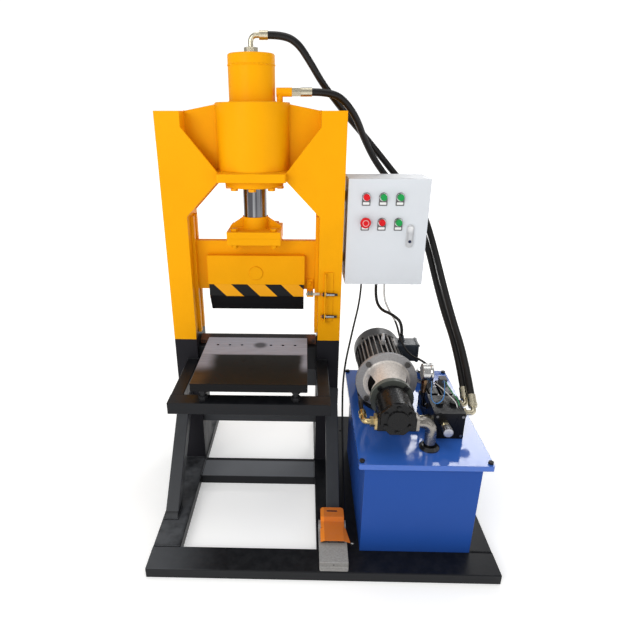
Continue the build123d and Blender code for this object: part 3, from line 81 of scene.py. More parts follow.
# Frame and table
AXIS_Y = middle_of("column_plates").y
BASE_TOP = high_of("front_beam").z
BEAM_REAR = high_of("front_beam").y
COLUMN_DEEP = high_of("column_plates").y
COLUMN_INNER = high_of("seat_plate").x
COLUMN_OUTER = high_of("column_plates").x
COLUMN_TOP = high_of("column_plates").z
SKID_INNER = 0.245
SKID_WIDTH = 0.100
SKID_LEFTS = (low_of("skids").x, SKID_INNER, high_of("skids").x - SKID_WIDTH)
STRUT_OUTER = high_of("struts").x
STRUT_WIDTH = 0.050
ARM_INNER = 0.244
ARM_OUTER = high_of("table_frame").x
ARM_LOW, ARM_HIGH = low_of("table_frame").z, high_of("table_frame").z
TABLE_TOP = high_of("table_plate").z
PAINT_LINE = TABLE_TOP + 0.015

# Press head and ram
BARREL_RADIUS = high_of("barrel").x
CAP_RADIUS = 0.0805
CAP_SEAM = 1.640
COLLAR_RADIUS = 0.0491
FLANGE_TOP = low_of("piston_rod").z
JACKET_RADIUS = -low_of("jacket").x
JACKET_TOP = 1.522
SEAT_LOW = low_of("seat_plate").z
SEAT_TOP = low_of("jacket").z
WING_HALF = 0.010

# How far a weld ends before an edge
SEAM_END = 0.002
SKID_SEAM_END = 0.005

# Bands on the blade
CHEVRON_LOW = 0.799
CHEVRON_SHARE = 0.526
CHEVRON_SOFT = 0.008
CHEVRON_START = -0.1727
CHEVRON_STEP = 0.1354
CHEVRON_TOP = high_of("upper_blade").z

# Motor, gauge, sensors and the bars that carry the box
MOTOR_MIDDLE = middle_of("fan_cover")
MOTOR_AXIS = spot(*MOTOR_MIDDLE)
COWL_RADIUS = 0.095
GAUGE_CASE_RADIUS = 0.032
GAUGE_DIAL_RADIUS = 0.0268
GAUGE_RIM_DEPTH = 0.004
NEEDLE_TURN = 132
TICK_SIZE = (0.0035, 0.0006, 0.0003)
SENSOR_NUT = 0.0085
SENSOR_HEIGHTS = (high_of("sensors").z - SENSOR_NUT, low_of("sensors").z + SENSOR_NUT)
BAR_HALF = 0.020

# Buttons on the door and the strips below them
GREEN_BUTTONS = ("button_green_upper_middle", "button_green_upper_right", "button_green_lower")
RED_BUTTONS = ("button_red_upper", "button_red_lower")
STRIP_DROP = 0.0235
STRIP_FACE = 0.012
STRIP_THICK = 0.0006

# Light values of fixed colours
BLACK_PLASTIC = (0.014, 0.014, 0.015)
COLUMN_BLACK = (0.018, 0.0175, 0.021)
LID_BLUE = (0.032, 0.122, 0.49)
# Dark oil on the bolts, and the painted reflection of the blade tip on the table
BLACK_OIL_AND_REFLECTION = (0.016, 0.016, 0.018)
PUMP_BLACK = (0.005, 0.005, 0.0055)

# Rounding that the shader gives to sharp edges
MOULDED_EDGE = 0.0008
PAINTED_EDGE = 0.0016
SCREW_EDGE = 0.0004

# Floor, camera and lights: each light's place, the point it looks at and its size
FLOOR_RADIUS = 30
SEEN_WHITE = 1.1
SENSOR_WIDTH = 36
CAMERA_DOWN = 22.3
CAMERA_PLACE = (-0.0696, -1.7465, 1.487)
CAMERA_SHIFT = 0.0428
CAMERA_TURN = 1.4
LIGHTS = {
    "key": ((-2.4, -3.6, 2.7), (0, 0, 0.7), (2.6, 2.0)),
    "fill": ((3.2, -2.2, 2.0), (0.1, 0, 0.6), (2.0, 2.0)),
    "top": ((0.2, 0.3, 4.2), (0, 0, 0.5), (3.0, 2.0)),
    "rim": ((1.5, 2.9, 2.5), (0.4, -0.2, 0.45), (1.4, 0.9)),
}

RIGHT, BACK, FRONT, UP = (1, 0, 0), (0, 1, 0), (0, -1, 0), (0, 0, 1)


def colour_property(label, text, value):
    """Colour that a user may change, as it looks on a screen."""
    return FloatVectorProperty(
        name=label, description=text, subtype="COLOR_GAMMA", size=3, min=0, max=1, default=value,
    )


def length_property(label, text, value):
    """Length that a user may change, in metres."""
    return FloatProperty(name=label, description=text, unit="LENGTH", min=0.0001, max=10, default=value)


def level_property(label, text, value, unit="NONE"):
    """Number of zero or more that a user may change."""
    return FloatProperty(name=label, description=text, unit=unit, min=0, default=value)


def count_property(label, text, value, least=0):
    """Whole number that a user may change."""
    return IntProperty(name=label, description=text, min=least, default=value)


class SplitterColours(bpy.types.PropertyGroup):
    """Colours of the painted, plated and moulded pieces."""

    yellow: colour_property("Press yellow", "Enamel of columns, press head and ram", (0.935, 0.64, 0.03))
    black: colour_property("Base black", "Paint of base, struts and table frame", (0.075, 0.080, 0.095))
    blue: colour_property("Tank blue", "Gloss enamel of the oil tank", (0.135, 0.295, 0.60))
    box: colour_property("Box grey", "Powder coat of the control box", (0.83, 0.845, 0.865))
    steel: colour_property("Bare steel", "Steel of piston and shaft, and under chips", (0.56, 0.56, 0.58))
    # At the table's front, this colour is a painted reflection of the dark ceiling.
    scale: colour_property("Mill scale", "Oiled dark skin at the table's front", (0.115, 0.110, 0.100))
    rust: colour_property("Rust", "Thin rust on the lower blade", (0.47, 0.29, 0.19))
    motor: colour_property("Motor black", "Paint of motor and fan cover", (0.115, 0.115, 0.12))
    silver: colour_property("Cast silver", "Cast aluminium of the bell housing", (0.66, 0.66, 0.67))
    zinc: colour_property("Zinc", "Plated hose fittings", (0.82, 0.79, 0.70))
    brass: colour_property("Brass", "Pump elbow", (0.76, 0.68, 0.50))
    orange: colour_property("Pedal orange", "Paint of the foot pedal", (0.84, 0.46, 0.17))
    switch: colour_property("Switch grey", "Cast body of the foot switch", (0.66, 0.655, 0.645))
    red: colour_property("Button red", "Stop buttons", (0.83, 0.10, 0.13))
    green: colour_property("Button green", "Start buttons", (0.13, 0.60, 0.30))
    rubber: colour_property("Hose rubber", "Cover of hoses and cables", (0.085, 0.08, 0.08))
    dust: colour_property("Stone dust", "Thin dust on upward faces", (0.56, 0.565, 0.57))


class SplitterDetails(bpy.types.PropertyGroup):
    """Sizes of welds, screws, blank strips and dial ticks."""

    weld_width: length_property("Weld width", "Half width of a weld bead", 0.0042)
    weld_pitch: length_property("Weld pitch", "Step from scale to scale of a weld bead", 0.0042)
    weld_seed: count_property("Weld seed", "Seed of the small changes along a bead", 7)
    screw_radius: length_property("Screw radius", "Half width of a small screw head", 0.0045)
    screw_height: length_property("Screw height", "Height of a small screw head", 0.004)
    bolt_radius: length_property("Bolt radius", "Half width of a bolt head across its corners", 0.0105)
    bolt_height: length_property("Bolt height", "Height of a bolt head", 0.0075)
    strip_width: length_property("Strip width", "Width of a blank strip below a button", 0.024)
    strip_height: length_property("Strip height", "Height of a blank strip below a button", 0.009)
    tick_count: count_property("Dial ticks", "Ticks round the gauge dial", 33, 3)


class SplitterCords(bpy.types.PropertyGroup):
    """Diameters of hoses and cables."""

    hose: length_property("Press hose", "Diameter of the two hoses to the press", 0.025)
    pump_hose: length_property("Pump hose", "Diameter of the hose from pump to valve block", 0.016)
    motor_cable: length_property("Motor cable", "Diameter of the cable to the motor", 0.012)
    thin_cable: length_property("Thin cable", "Diameter of the cables to valves and foot switch", 0.008)
    lead: length_property("Lead", "Diameter of the thin leads over the valves", 0.0034)


class SplitterStage(bpy.types.PropertyGroup):
    """Floor, light and camera."""

    floor: colour_property("Floor", "Plain pale floor", (0.965, 0.965, 0.96))
    sky: level_property("Room light", "Strength of the even white light", 0.52)
    key: level_property("Key light", "Power of the large light at the front left", 88, "POWER")
    fill: level_property("Fill light", "Power of the light at the right", 8, "POWER")
    top: level_property("Top light", "Power of the light above", 32, "POWER")
    rim: level_property("Rim light", "Power of the light behind the right side", 26, "POWER")
    lens: level_property("Lens", "Focal length in millimetres", 28.41, "CAMERA")


GROUPS = {
    "splitter_colours": SplitterColours,
    "splitter_details": SplitterDetails,
    "splitter_cords": SplitterCords,
    "splitter_stage": SplitterStage,
}


def settings(name):
    """Settings of the open scene."""
    return getattr(bpy.context.scene, "splitter_" + name)


def linear(values):
    """Screen colour as the light values that a shader takes."""
    return [v / 12.92 if v <= 0.04045 else ((v + 0.055) / 1.055) ** 2.4 for v in values]


def tint(name):
    """Light values of one of the colour settings."""
    return linear(getattr(settings("colours"), name))


class Wire:
    """One socket of a shader's node tree. Arithmetic on it adds Math nodes."""

    def __init__(self, tree, socket=None):
        self.tree = tree
        self.socket = socket

    def node(self, kind, choices=None, values=None, output=0):
        """Adds a node: its choices are set first, then the values or links of its sockets."""
        made = self.tree.nodes.new("ShaderNode" + kind)
        for name, value in (choices or {}).items():
            setattr(made, name, value)
        for name, value in (values or {}).items():
            self.feed(made.inputs[name], value)
        return Wire(self.tree, made.outputs[output])

    def feed(self, socket, value):
        """Links a wire to an input socket, or writes a number, a vector or light values there."""
        if isinstance(value, Wire):
            self.tree.links.new(value.socket, socket)
        elif socket.type == "RGBA":
            socket.default_value = (*value, 1.0)
        else:
            socket.default_value = value

    def math(self, operation, first, second=0.0):
        return self.node("Math", {"operation": operation}, {0: first, 1: second})

    def __add__(self, other):
        return self.math("ADD", self, other)

    __radd__ = __add__

    def __sub__(self, other):
        return self.math("SUBTRACT", self, other)

    def __rsub__(self, other):
        return self.math("SUBTRACT", other, self)

    def __mul__(self, other):
        return self.math("MULTIPLY", self, other)

    def __truediv__(self, other):
        return self.math("DIVIDE", self, other)

    def size(self):
        return self.math("ABSOLUTE", self)

    def most(self, other):
        return self.math("MAXIMUM", self, other)

    def rise(self, low, high):
        """0 below low, 1 above high and a soft step between; falls where low is above high."""
        limits = {"From Min": low, "From Max": high}
        return self.node("MapRange", {"interpolation_type": "SMOOTHSTEP"}, {"Value": self, **limits})

    def inside(self, low, high, soft=0.0004):
        """1 between two limits and 0 outside."""
        return self.rise(low - soft, low + soft) * self.rise(high + soft, high - soft)

    def axis(self, name):
        """Number of a vector along one of its axes X, Y and Z."""
        return self.node("SeparateXYZ", None, {0: self}, output=name)

    def axes(self, names="XYZ"):
        """Numbers of a vector along several axes."""
        return [self.axis(name) for name in names]

    def noise(self, scale, detail=2.0, roughness=0.5):
        """Soft random values over a vector, about 0 to 1."""
        values = {"Vector": self, "Scale": scale, "Detail": detail, "Roughness": roughness}
        return self.node("TexNoise", None, values)

    def wander(self, scale, detail, reach):
        """Soft random offset, up to about half of reach each way."""
        return (self.noise(scale, detail) - 0.5) * reach

    def stretched(self, x, y, z):
        """Vector with its axes scaled, for grain that runs one way."""
        return self.node("Mapping", None, {"Vector": self, "Scale": (x, y, z)})

    def mix(self, factor, first, second, way="MIX"):
        """Colour between two colours."""
        choices = {"data_type": "RGBA", "blend_type": way}
        return self.node("Mix", choices, {0: factor, 6: first, 7: second}, output=2)

    def layered(self, colour, *layers):
        """Colour with others laid over it in turn, each given as its share and its colour."""
        for share, over in layers:
            colour = self.mix(share, colour, over)
        return colour

    def away_from(self, point, across="XZ"):
        """Distance from a line through a point, square to the two named axes."""
        first, second = (self.axis(name) - point["XYZ".index(name)] for name in across)
        return self.math("POWER", first * first + second * second, 0.5)

    def upward(self):
        """1 on faces that look up, 0 on upright ones."""
        normal = self.node("TexCoord", output="Normal")
        return normal.axis("Z").rise(0.5, 0.95)


class Finish:
    """Material in the making. Its colour may be light values or a function of the place."""

    def __init__(self, name, colour, corner):
        self.material = bpy.data.materials.new(name)
        self.material.use_nodes = True
        tree = self.material.node_tree
        self.shader = tree.nodes["Principled BSDF"]
        self.place = Wire(tree).node("TexCoord", output="Object")
        self.colour = colour(self.place) if callable(colour) else colour
        if corner:
            self.round_edges(corner)

    def round_edges(self, radius):
        """Rounds the sharp edges for the shader, and finds them: 1 on edges and 0 on flat faces."""
        node = self.place.node
        self.rounded = node("Bevel", {"samples": 4}, {"Radius": radius})
        sides = {0: self.rounded, 1: node("NewGeometry", output="Normal")}
        alike = node("VectorMath", {"operation": "DOT_PRODUCT"}, sides, output="Value")
        self.edges = (1 - alike).rise(0.01, 0.16)

    def toned(self, *factors):
        """Its colour, lighter or darker by a factor for each light value."""
        if isinstance(self.colour, Wire):
            return self.place.mix(1.0, self.colour, factors, "MULTIPLY")
        return [part * factor for part, factor in zip(self.colour, factors)]

    def lay(self, share, over):
        """Lays another colour over a share of the surface."""
        self.colour = self.place.mix(share, self.colour, over)

    def bumps(self, height, strength, distance):
        """Surface direction with small bumps over the rounded edges."""
        values = {"Height": height, "Strength": strength, "Distance": distance, "Normal": self.rounded}
        return self.place.node("Bump", None, values)

    def close(self, nodes, values):
        """Feeds the shader's sockets and puts the material on CAD nodes."""
        for name, value in {"Base Color": self.colour, **values}.items():
            self.place.feed(self.shader.inputs[name], value)
        for node in nodes:
            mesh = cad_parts[node].data
            mesh.materials.clear()
            mesh.materials.append(self.material)
        return self.material


def paint(
    name, colour, *nodes, gloss=0.34, coat=0.0, tone=0.05, dust=0.05, chips=0.4, under=None,
    peel=0.05, mirror=0.16, grime=0.25,
):
    """Sprayed enamel: soft changes of tone, orange peel, dust on top and chips along the edges."""
    finish = Finish(name, colour, PAINTED_EDGE)
    place, edges = finish.place, finish.edges
    clouds = place.noise(5.0, 3.0, 0.6)
    specks = place.noise(240.0, 3.0, 0.65)
    scuffs = place.stretched(1.0, 1.0, 0.25).noise(38.0, 4.0, 0.7)
    dark = finish.toned(0.72, 0.70, 0.68)
    finish.lay(clouds.rise(0.62, 0.30) * (tone * 3), dark)
    finish.lay(edges * clouds.rise(0.35, 0.65) * grime, dark)
    worn = edges * specks.rise(0.50, 0.62) * scuffs.rise(0.45, 0.62) * chips
    finish.lay(worn, under or tint("steel"))
    powder = place.upward() * scuffs.rise(0.32, 0.75) * dust
    finish.lay(powder, tint("dust"))
    return finish.close(nodes, {
        "Roughness": gloss + scuffs.rise(0.3, 0.8) * 0.12 + powder * 0.5,
        "Normal": finish.bumps(place.noise(420.0, 1.0), peel, 0.0006),
        "Specular IOR Level": mirror,
        "Coat Weight": coat,
        "Coat Roughness": 0.06,
    })


def metal(
    name, colour, *nodes, gloss=0.3, grain=(1.0, 1.0, 1.0), scratch=0.05, stain=0.25,
    stain_colour=(0.10, 0.085, 0.07), shine=1.0, mirror=0.5, corner=0.001,
):
    """Bare or plated metal with fine grain, stains and brighter edges."""
    finish = Finish(name, colour, corner)
    place = finish.place
    grainy = place.stretched(*grain).noise(160.0, 5.0, 0.7)
    clouds = place.noise(14.0, 4.0, 0.62)
    light = finish.toned(1.25, 1.25, 1.25)
    dark = finish.toned(0.70, 0.69, 0.68)
    finish.lay(grainy.rise(0.75, 0.25), dark)
    finish.lay(clouds.rise(0.52, 0.72) * stain, stain_colour)
    finish.lay(finish.edges * 0.6, light)
    return finish.close(nodes, {
        "Roughness": gloss + grainy * 0.18 + clouds.rise(0.5, 0.75) * 0.15,
        "Normal": finish.bumps(grainy, scratch, 0.0004),
        "Metallic": shine,
        "Specular IOR Level": mirror,
    })


def moulded(name, colour, *nodes, gloss=0.42, grain=0.06, wear=0.12, mirror=0.25):
    """Moulded plastic or rubber with a fine grain, a little dirt and rubbed edges."""
    finish = Finish(name, colour, MOULDED_EDGE)
    clouds = finish.place.noise(60.0, 3.0, 0.6)
    fine = finish.place.noise(1500.0, 2.0, 0.5)
    dark = finish.toned(0.80, 0.79, 0.78)
    light = finish.toned(1.35, 1.35, 1.35)
    finish.lay(clouds.rise(0.60, 0.35) * (wear * 3), dark)
    finish.lay(finish.edges * (wear * 2), light)
    return finish.close(nodes, {
        "Roughness": gloss + clouds.rise(0.3, 0.8) * 0.12,
        "Normal": finish.bumps(fine, grain, 0.0003),
        "Specular IOR Level": mirror,
    })


def mixed_metal(name, parts, *nodes, gloss):
    """Moulded stretches beside bare metal ones: parts gives the colour and the share of metal."""
    finish = Finish(name, None, MOULDED_EDGE)
    place = finish.place
    finish.colour, share = parts(place)
    clouds = place.noise(45.0, 4.0, 0.6)
    fine = place.noise(700.0, 2.0, 0.5)
    dark = finish.toned(0.66, 0.65, 0.63)
    light = finish.toned(1.3, 1.3, 1.3)
    finish.lay(clouds.rise(0.60, 0.32) * 0.5, dark)
    finish.lay(finish.edges * 0.4, light)
    return finish.close(nodes, {
        "Metallic": share,
        "Roughness": gloss + clouds.rise(0.3, 0.8) * 0.16 + (1 - share) * 0.12,
        "Normal": finish.bumps(fine, 0.05, 0.0003),
    })


def parted(axis, low, high, below, above):
    """Function that gives two colours, which meet between two limits along an axis."""
    return lambda place: place.mix(place.axis(axis).rise(low, high), below, above)


def column_colours(place):
    """Yellow above the table, black below, with black clouds a little above the paint line on the inner
    faces.
    """
    x, z = place.axes("XZ")
    inner = (x - PRESS_X).size().rise(COLUMN_INNER + 0.0012, COLUMN_INNER + 0.0004)
    cloud = z + place.wander(14.0, 4.0, 0.03)
    inner_dark_clouds = cloud.rise(PAINT_LINE + 0.052, PAINT_LINE + 0.012) * inner
    yellow = place.mix(inner_dark_clouds * 0.9, tint("yellow"), COLUMN_BLACK)
    height = z + place.wander(60.0, 2.0, 0.002)
    return place.mix(height.rise(PAINT_LINE - 0.0006, PAINT_LINE + 0.0006), COLUMN_BLACK, yellow)


def chevron_colours(place):
    """Black blade with slanting yellow bands on its front face."""
    x, y, z = place.axes()
    along = x + z - (PRESS_X + CHEVRON_START + CHEVRON_TOP)
    turn = place.math("FRACT", along / CHEVRON_STEP)
    band = turn.rise(0.0, CHEVRON_SOFT) * turn.rise(CHEVRON_SHARE, CHEVRON_SHARE - CHEVRON_SOFT)
    front = y.rise(COLUMN_FACE + AXIS_Y, COLUMN_FACE + AXIS_Y - 0.002)
    shown = band * front * z.rise(CHEVRON_LOW - 0.0005, CHEVRON_LOW + 0.0005)
    return place.mix(shown, (0.006, 0.006, 0.007), tint("yellow"))


def rod_colours(place):
    """Hard chrome with upright streaks."""
    streaks = place.stretched(1.0, 1.0, 0.015).noise(60.0, 3.0, 0.6)
    return place.mix(streaks.rise(0.38, 0.66), (0.09, 0.09, 0.10), (0.50, 0.51, 0.53))


def trigger_colours(place):
    """Yellow arm with two grey clamps on a bright pin."""
    y, z = place.axes("YZ")
    near = y.rise(COLUMN_FACE + 0.0025, COLUMN_FACE + 0.0015)
    axis = (0, COLUMN_FACE - 0.008, SENSOR_HEIGHTS[0])
    pin = near * place.away_from(axis, "YZ").rise(0.0056, 0.0052)
    clamps = near * z.rise(0.8275, 0.8280)
    return place.layered(tint("yellow"), (clamps, (0.17, 0.175, 0.15)), (pin, (0.55, 0.52, 0.42)))


class SPLITTER_OT_paint_press(bpy.types.Operator):
    """Paint the columns, the press head and the ram"""

    bl_idname = "splitter.paint_press"
    bl_label = "Paint press"

    def execute(self, context):
        enamel = {"gloss": 0.32, "dust": 0.03, "chips": 0.3, "mirror": 0.045, "grime": 0.7}
        enamel["under"] = (0.24, 0.10, 0.05)
        paint("column_enamel", column_colours, "columns", "column_plates", **enamel)
        paint(
            "press_enamel", tint("yellow"),
            "seat_plate", "jacket", "barrel", "gland", "rod_flange", "ram_beam", "head_bolts",
            "blade_cheeks", "pivot_pin", "sensor_bracket", "box_bars", "guide_strips", **enamel,
        )
        paint("chevron_enamel", chevron_colours, "upper_blade", gloss=0.30, chips=0.45, dust=0.02)
        metal("rod_chrome", rod_colours, "piston_rod", gloss=0.10, grain=(1, 1, 0.02), stain=0.12)
        metal("piston_steel", tint("steel"), "piston")
        paint("trigger_finish", trigger_colours, "trigger_arm", **enamel)
        return {"FINISHED"}


def base_colours(place):
    """Black paint, with painted sheen and some dust as lighter grey on the upward faces of the cross beam,
    the left skid and a front corner, and painted sheen lightening the struts.
    """
    x, y, z = place.axes()
    across, along = x - PRESS_X, y - COLUMN_FACE
    low = z.rise(0.060, 0.050)
    beam = along.inside(-0.124, -0.020, 0.004) * across.size().rise(0.2465, 0.2435) * low * 0.95
    patches = place.noise(7.0, 4.0, 0.6).rise(0.36, 0.62)
    skid = across.rise(-0.230, -0.262) * low * patches * 0.45
    corner = across.rise(-0.060, -0.340) * along.rise(-0.500, -0.512) * low * 0.35
    # Lighter grey on these upward faces is painted sheen, with some dust.
    sheen_and_dust = place.upward() * beam.most(skid).most(corner)
    # Lighter grey on the struts is painted sheen.
    struts = z.inside(0.060, 0.480) * 0.20
    return place.mix(sheen_and_dust.most(struts), tint("black"), (0.19, 0.20, 0.215))


def table_colours(place):
    """Steel top with painted reflection: lighter bluish grey at the back and along the sides, dark towards
    the operator, and a dark spot near the middle as the blade tip's reflection.
    """
    x, y, z = place.axes()
    wave = place.wander(9.0, 3.0, 0.03)
    across, along = x - PRESS_X, y - COLUMN_FACE
    rear = (along + wave * 0.2).rise(-0.114, -0.099)
    left = (across + wave).rise(-0.130, -0.185)
    right = (across + wave).rise(0.172, 0.200)
    # Lighter bluish grey at the back and along the sides is a painted reflection of the bright room.
    sky_reflection = rear.most(left.most(right) * (along + wave).rise(-0.265, -0.185) * 0.75)
    warm = left * (1 - sky_reflection) * (along + wave).rise(-0.215, -0.285)
    # Dark round spot near the middle: painted reflection of the blade tip.
    blade_tip_reflection = place.away_from(spot(0.016, -0.019, 0), "XY").rise(0.036, 0.014)
    # The dark base colour towards the operator is a painted reflection of the dark ceiling.
    top = place.layered(
        tint("scale"),
        (warm * 0.7, (0.105, 0.058, 0.030)),
        (sky_reflection, (0.40, 0.405, 0.47)),
        (blade_tip_reflection * 0.8, BLACK_OIL_AND_REFLECTION),
    )
    return place.mix(z.rise(TABLE_TOP - 0.0006, TABLE_TOP - 0.0002), (0.004, 0.004, 0.005), top)


def rust_colours(place):
    """Dark steel with thin rust at both ends."""
    ends = (place.axis("X") - PRESS_X).size().rise(0.190, 0.225)
    patches = place.noise(30.0, 4.0, 0.7).rise(0.32, 0.56)
    return place.mix(patches * ends, (0.030, 0.029, 0.031), tint("rust"))


class SPLITTER_OT_paint_base(bpy.types.Operator):
    """Paint the base, the table and its bolts"""

    bl_idname = "splitter.paint_base"
    bl_label = "Paint base and table"

    def execute(self, context):
        steelwork = ("front_beam", "skids", "deck_plate", "struts", "anvil_beam", "table_frame")
        bolts = parted("Z", 1.0, 1.01, BLACK_OIL_AND_REFLECTION, tint("yellow"))
        oiled = {"gloss": 0.26, "stain": 0.0, "shine": 0.0, "mirror": 0.13, "corner": 0.0015}
        paint("base_enamel", base_colours, *steelwork, tone=0.07, dust=0.03, chips=0.35, mirror=0.2)
        paint("bolt_finish", bolts, "frame_bolts", gloss=0.4, chips=0.6)
        metal("table_steel", table_colours, "table_plate", grain=(0.06, 1, 1), **oiled)
        metal("rusty_steel", rust_colours, "lower_blade", gloss=0.5, stain=0.2, shine=0.3)
        return {"FINISHED"}


def bell_colours(place):
    """Cast silver with dark bolt heads on the flange."""
    y = place.axis("Y")
    bolts = y.inside(-0.1035, -0.0943) * place.away_from(MOTOR_AXIS).rise(0.0885, 0.0892)
    cone = y.rise(-0.0935, -0.0965) * place.noise(12.0, 3.0).rise(0.20, 0.55)
    return place.layered(tint("silver"), (cone, (0.80, 0.75, 0.70)), (bolts, (0.10, 0.095, 0.09)))


def pump_colours(place):
    """Grey mounting ring, black body."""
    y = place.axis("Y")
    ring = y.rise(-0.2242, -0.2238) * place.away_from(MOTOR_AXIS).rise(0.0562, 0.0566)
    return place.mix(ring, PUMP_BLACK, (0.115, 0.125, 0.110))


def motor_colours(place):
    """Black frame with a painted highlight as grey on the upper fin tips, a blue-grey terminal box whose
    colour also lays painted shade on the motor's right side, and a bright lifting eye.
    """
    x, y, z = place.axes()
    # Grey on the upper fin tips is a painted highlight.
    fin_highlight = place.away_from(MOTOR_AXIS).rise(0.083, 0.091) * z.rise(0.59, 0.63) * y.rise(0.131, 0.129)
    # The terminal box's dark blue-grey also covers the right side of the motor as painted shade.
    terminal = x.rise(0.294, 0.300) * y.rise(0.150, 0.148)
    eye = z.rise(0.6650, 0.6665) * (x - MOTOR_AXIS.x).size().rise(0.026, 0.025)
    return place.layered(
        tint("motor"),
        (fin_highlight, (0.26, 0.25, 0.242)),
        (terminal, (0.022, 0.028, 0.037)),
        (eye, (0.45, 0.45, 0.46)),
    )


def shaft_colours(place):
    """Steel shaft with a dark red coupling."""
    return place.mix(place.axis("Y").inside(-0.186, -0.098), tint("steel"), (0.42, 0.050, 0.035))


def fitting_colours(place):
    """Brass at the pump, bright steel at the suction pipe and zinc elsewhere."""
    x, y, z = place.axes()
    low = z.rise(1.0, 0.99)
    suction = x.inside(0.30, 0.40) * y.rise(-0.265, -0.270) * low
    return place.layered(
        tint("zinc"),
        (x.rise(0.200, 0.195) * low, tint("brass")),
        (suction, (0.33, 0.31, 0.285)),
        (z.rise(0.460, 0.459) * suction, (0.02, 0.02, 0.02)),
    )


def gauge_colours(place):
    """Polished case on a brown brass stem with a black pipe below."""
    z = place.axis("Z")
    case, pipe = z.rise(0.616, 0.618), z.rise(0.566, 0.564)
    return place.layered((0.24, 0.15, 0.085), (case, (0.62, 0.62, 0.61)), (pipe, (0.03, 0.03, 0.03)))


def lid_colours(place):
    """Blue lid with a black suction collar and a bright filler neck."""
    y, z = place.axes("YZ")
    raised = z.rise(0.4396, 0.4402)
    filler, collar = raised * y.rise(0.05, 0.06), raised * y.rise(0.05, 0.04)
    return place.layered(LID_BLUE, (filler, (0.55, 0.55, 0.56)), (collar, (0.012, 0.012, 0.013)))


def relief_colours(place):
    """Bright knob with a darker rim."""
    rim = place.away_from(spot(*middle_of("relief_knob"))).rise(0.0150, 0.0156)
    return place.mix(rim, (0.66, 0.66, 0.68), (0.30, 0.30, 0.31))


class SPLITTER_OT_paint_power_pack(bpy.types.Operator):
    """Paint the tank, the motor, the pump and the valves"""

    bl_idname = "splitter.paint_power_pack"
    bl_label = "Paint power pack"

    def execute(self, context):
        smooth = {"tone": 0.03, "chips": 0.2, "peel": 0.01}
        lid = {"gloss": 0.06, "dust": 0.01, "mirror": 0.5, "coat": 0.35, **smooth}
        cast = {"gloss": 0.36, "stain": 0.2, "stain_colour": (0.30, 0.25, 0.22), "shine": 0.35, "mirror": 0.3}
        coils = parted("Z", 0.5302, 0.5306, BLACK_PLASTIC, (0.10, 0.10, 0.105))
        paint("tank_enamel", tint("blue"), "tank_shell", gloss=0.30, dust=0.02, mirror=0.12, **smooth)
        paint("lid_enamel", lid_colours, "tank_lid", **lid)
        paint("motor_enamel", motor_colours, "motor_frame", "fan_cover", gloss=0.30, dust=0.06, mirror=0.4)
        metal("bell_casting", bell_colours, "bell_housing", **cast)
        paint("pump_enamel", pump_colours, "pump", gloss=0.24, dust=0.03, mirror=0.22)
        metal("shaft_steel", shaft_colours, "drive_shaft", gloss=0.42, shine=0.5)
        metal("fitting_plate", fitting_colours, "port_fittings", gloss=0.18, stain_colour=(0.25, 0.18, 0.10))
        paint("valve_oxide", (0.008, 0.008, 0.009), "valve_block", gloss=0.26, dust=0.02, chips=0.5)
        moulded("coil_moulding", coils, "valve_coils", gloss=0.45)
        metal("gauge_plate", gauge_colours, "gauge", gloss=0.14, stain=0.2)
        metal("relief_finish", relief_colours, "relief_knob", gloss=0.2, stain=0.15)
        metal("cap_chrome", (0.62, 0.62, 0.63), "filler_cap", gloss=0.12, stain=0.15)
        return {"FINISHED"}


def sensor_parts(place):
    """Black barrels, a bright nut and an amber tip, and their share of metal; on the plated barrel only a
    strip along the middle is metal, and the black above and below it is painted dark reflection.
    """
    x, z = place.axes("XZ")
    along = x - PRESS_X
    tip, nut = along.rise(0.2642, 0.2634), along.inside(0.2745, 0.2793)
    upper, lower = ((z - height).size() for height in SENSOR_HEIGHTS)
    # Only a strip along the barrel's middle is plated metal; the black above and below it is painted dark
    # reflection.
    barrel = along.inside(0.2793, 0.3098) * place.math("MINIMUM", upper, lower).rise(0.0042, 0.0022)
    colour = place.layered(
        (0.012, 0.012, 0.013),
        (nut, (0.70, 0.58, 0.34)),
        (barrel, (0.56, 0.57, 0.60)),
        (tip, (0.58, 0.20, 0.04)),
    )
    return colour, nut.most(barrel)


def holder_parts(place):
    """Black holders with bright bezels and a pale grey lock plate, and their share of metal."""
    x, y = place.axes("XY")
    lock = x.rise(0.303, 0.305)
    bezel = y.rise(0.1421, 0.1417) * (1 - lock)
    return place.layered(BLACK_PLASTIC, (bezel, (0.66, 0.66, 0.67)), (lock, (0.60, 0.61, 0.63))), bezel


def stop_colours(place):
    """Red mushroom head with a pale ring."""
    radius = place.away_from(spot(*middle_of("emergency_stop")))
    ring = radius.inside(0.0095, 0.0120) * place.axis("Y").rise(0.1200, 0.1190)
    return place.mix(ring * 0.75, tint("red"), (0.75, 0.55, 0.53))


def lever_colours(place):
    """Pale grey lever with a painted highlight as white on its upper end and a dark blue push button near its
    lower end.
    """
    button = place.away_from((0.325, 0, 1.039)).rise(0.0064, 0.0058)
    # White on the upper end is a painted highlight.
    upper = place.axis("Z").rise(1.070, 1.092)
    return place.layered((0.52, 0.53, 0.55), (upper, (0.82, 0.82, 0.83)), (button, (0.010, 0.016, 0.055)))


def gear_colours(place):
    """Bright panel, pale gear and black glands."""
    y, z = place.axes("YZ")
    panel = y.rise(0.2930, 0.2936)
    dark = z.inside(1.085, 1.170) * (1 - panel) * y.rise(0.2430, 0.2424)
    return place.layered(
        (0.55, 0.55, 0.53),
        (panel, (0.42, 0.43, 0.44)),
        (dark, (0.03, 0.03, 0.032)),
        (z.rise(0.8665, 0.8655), BLACK_PLASTIC),
    )


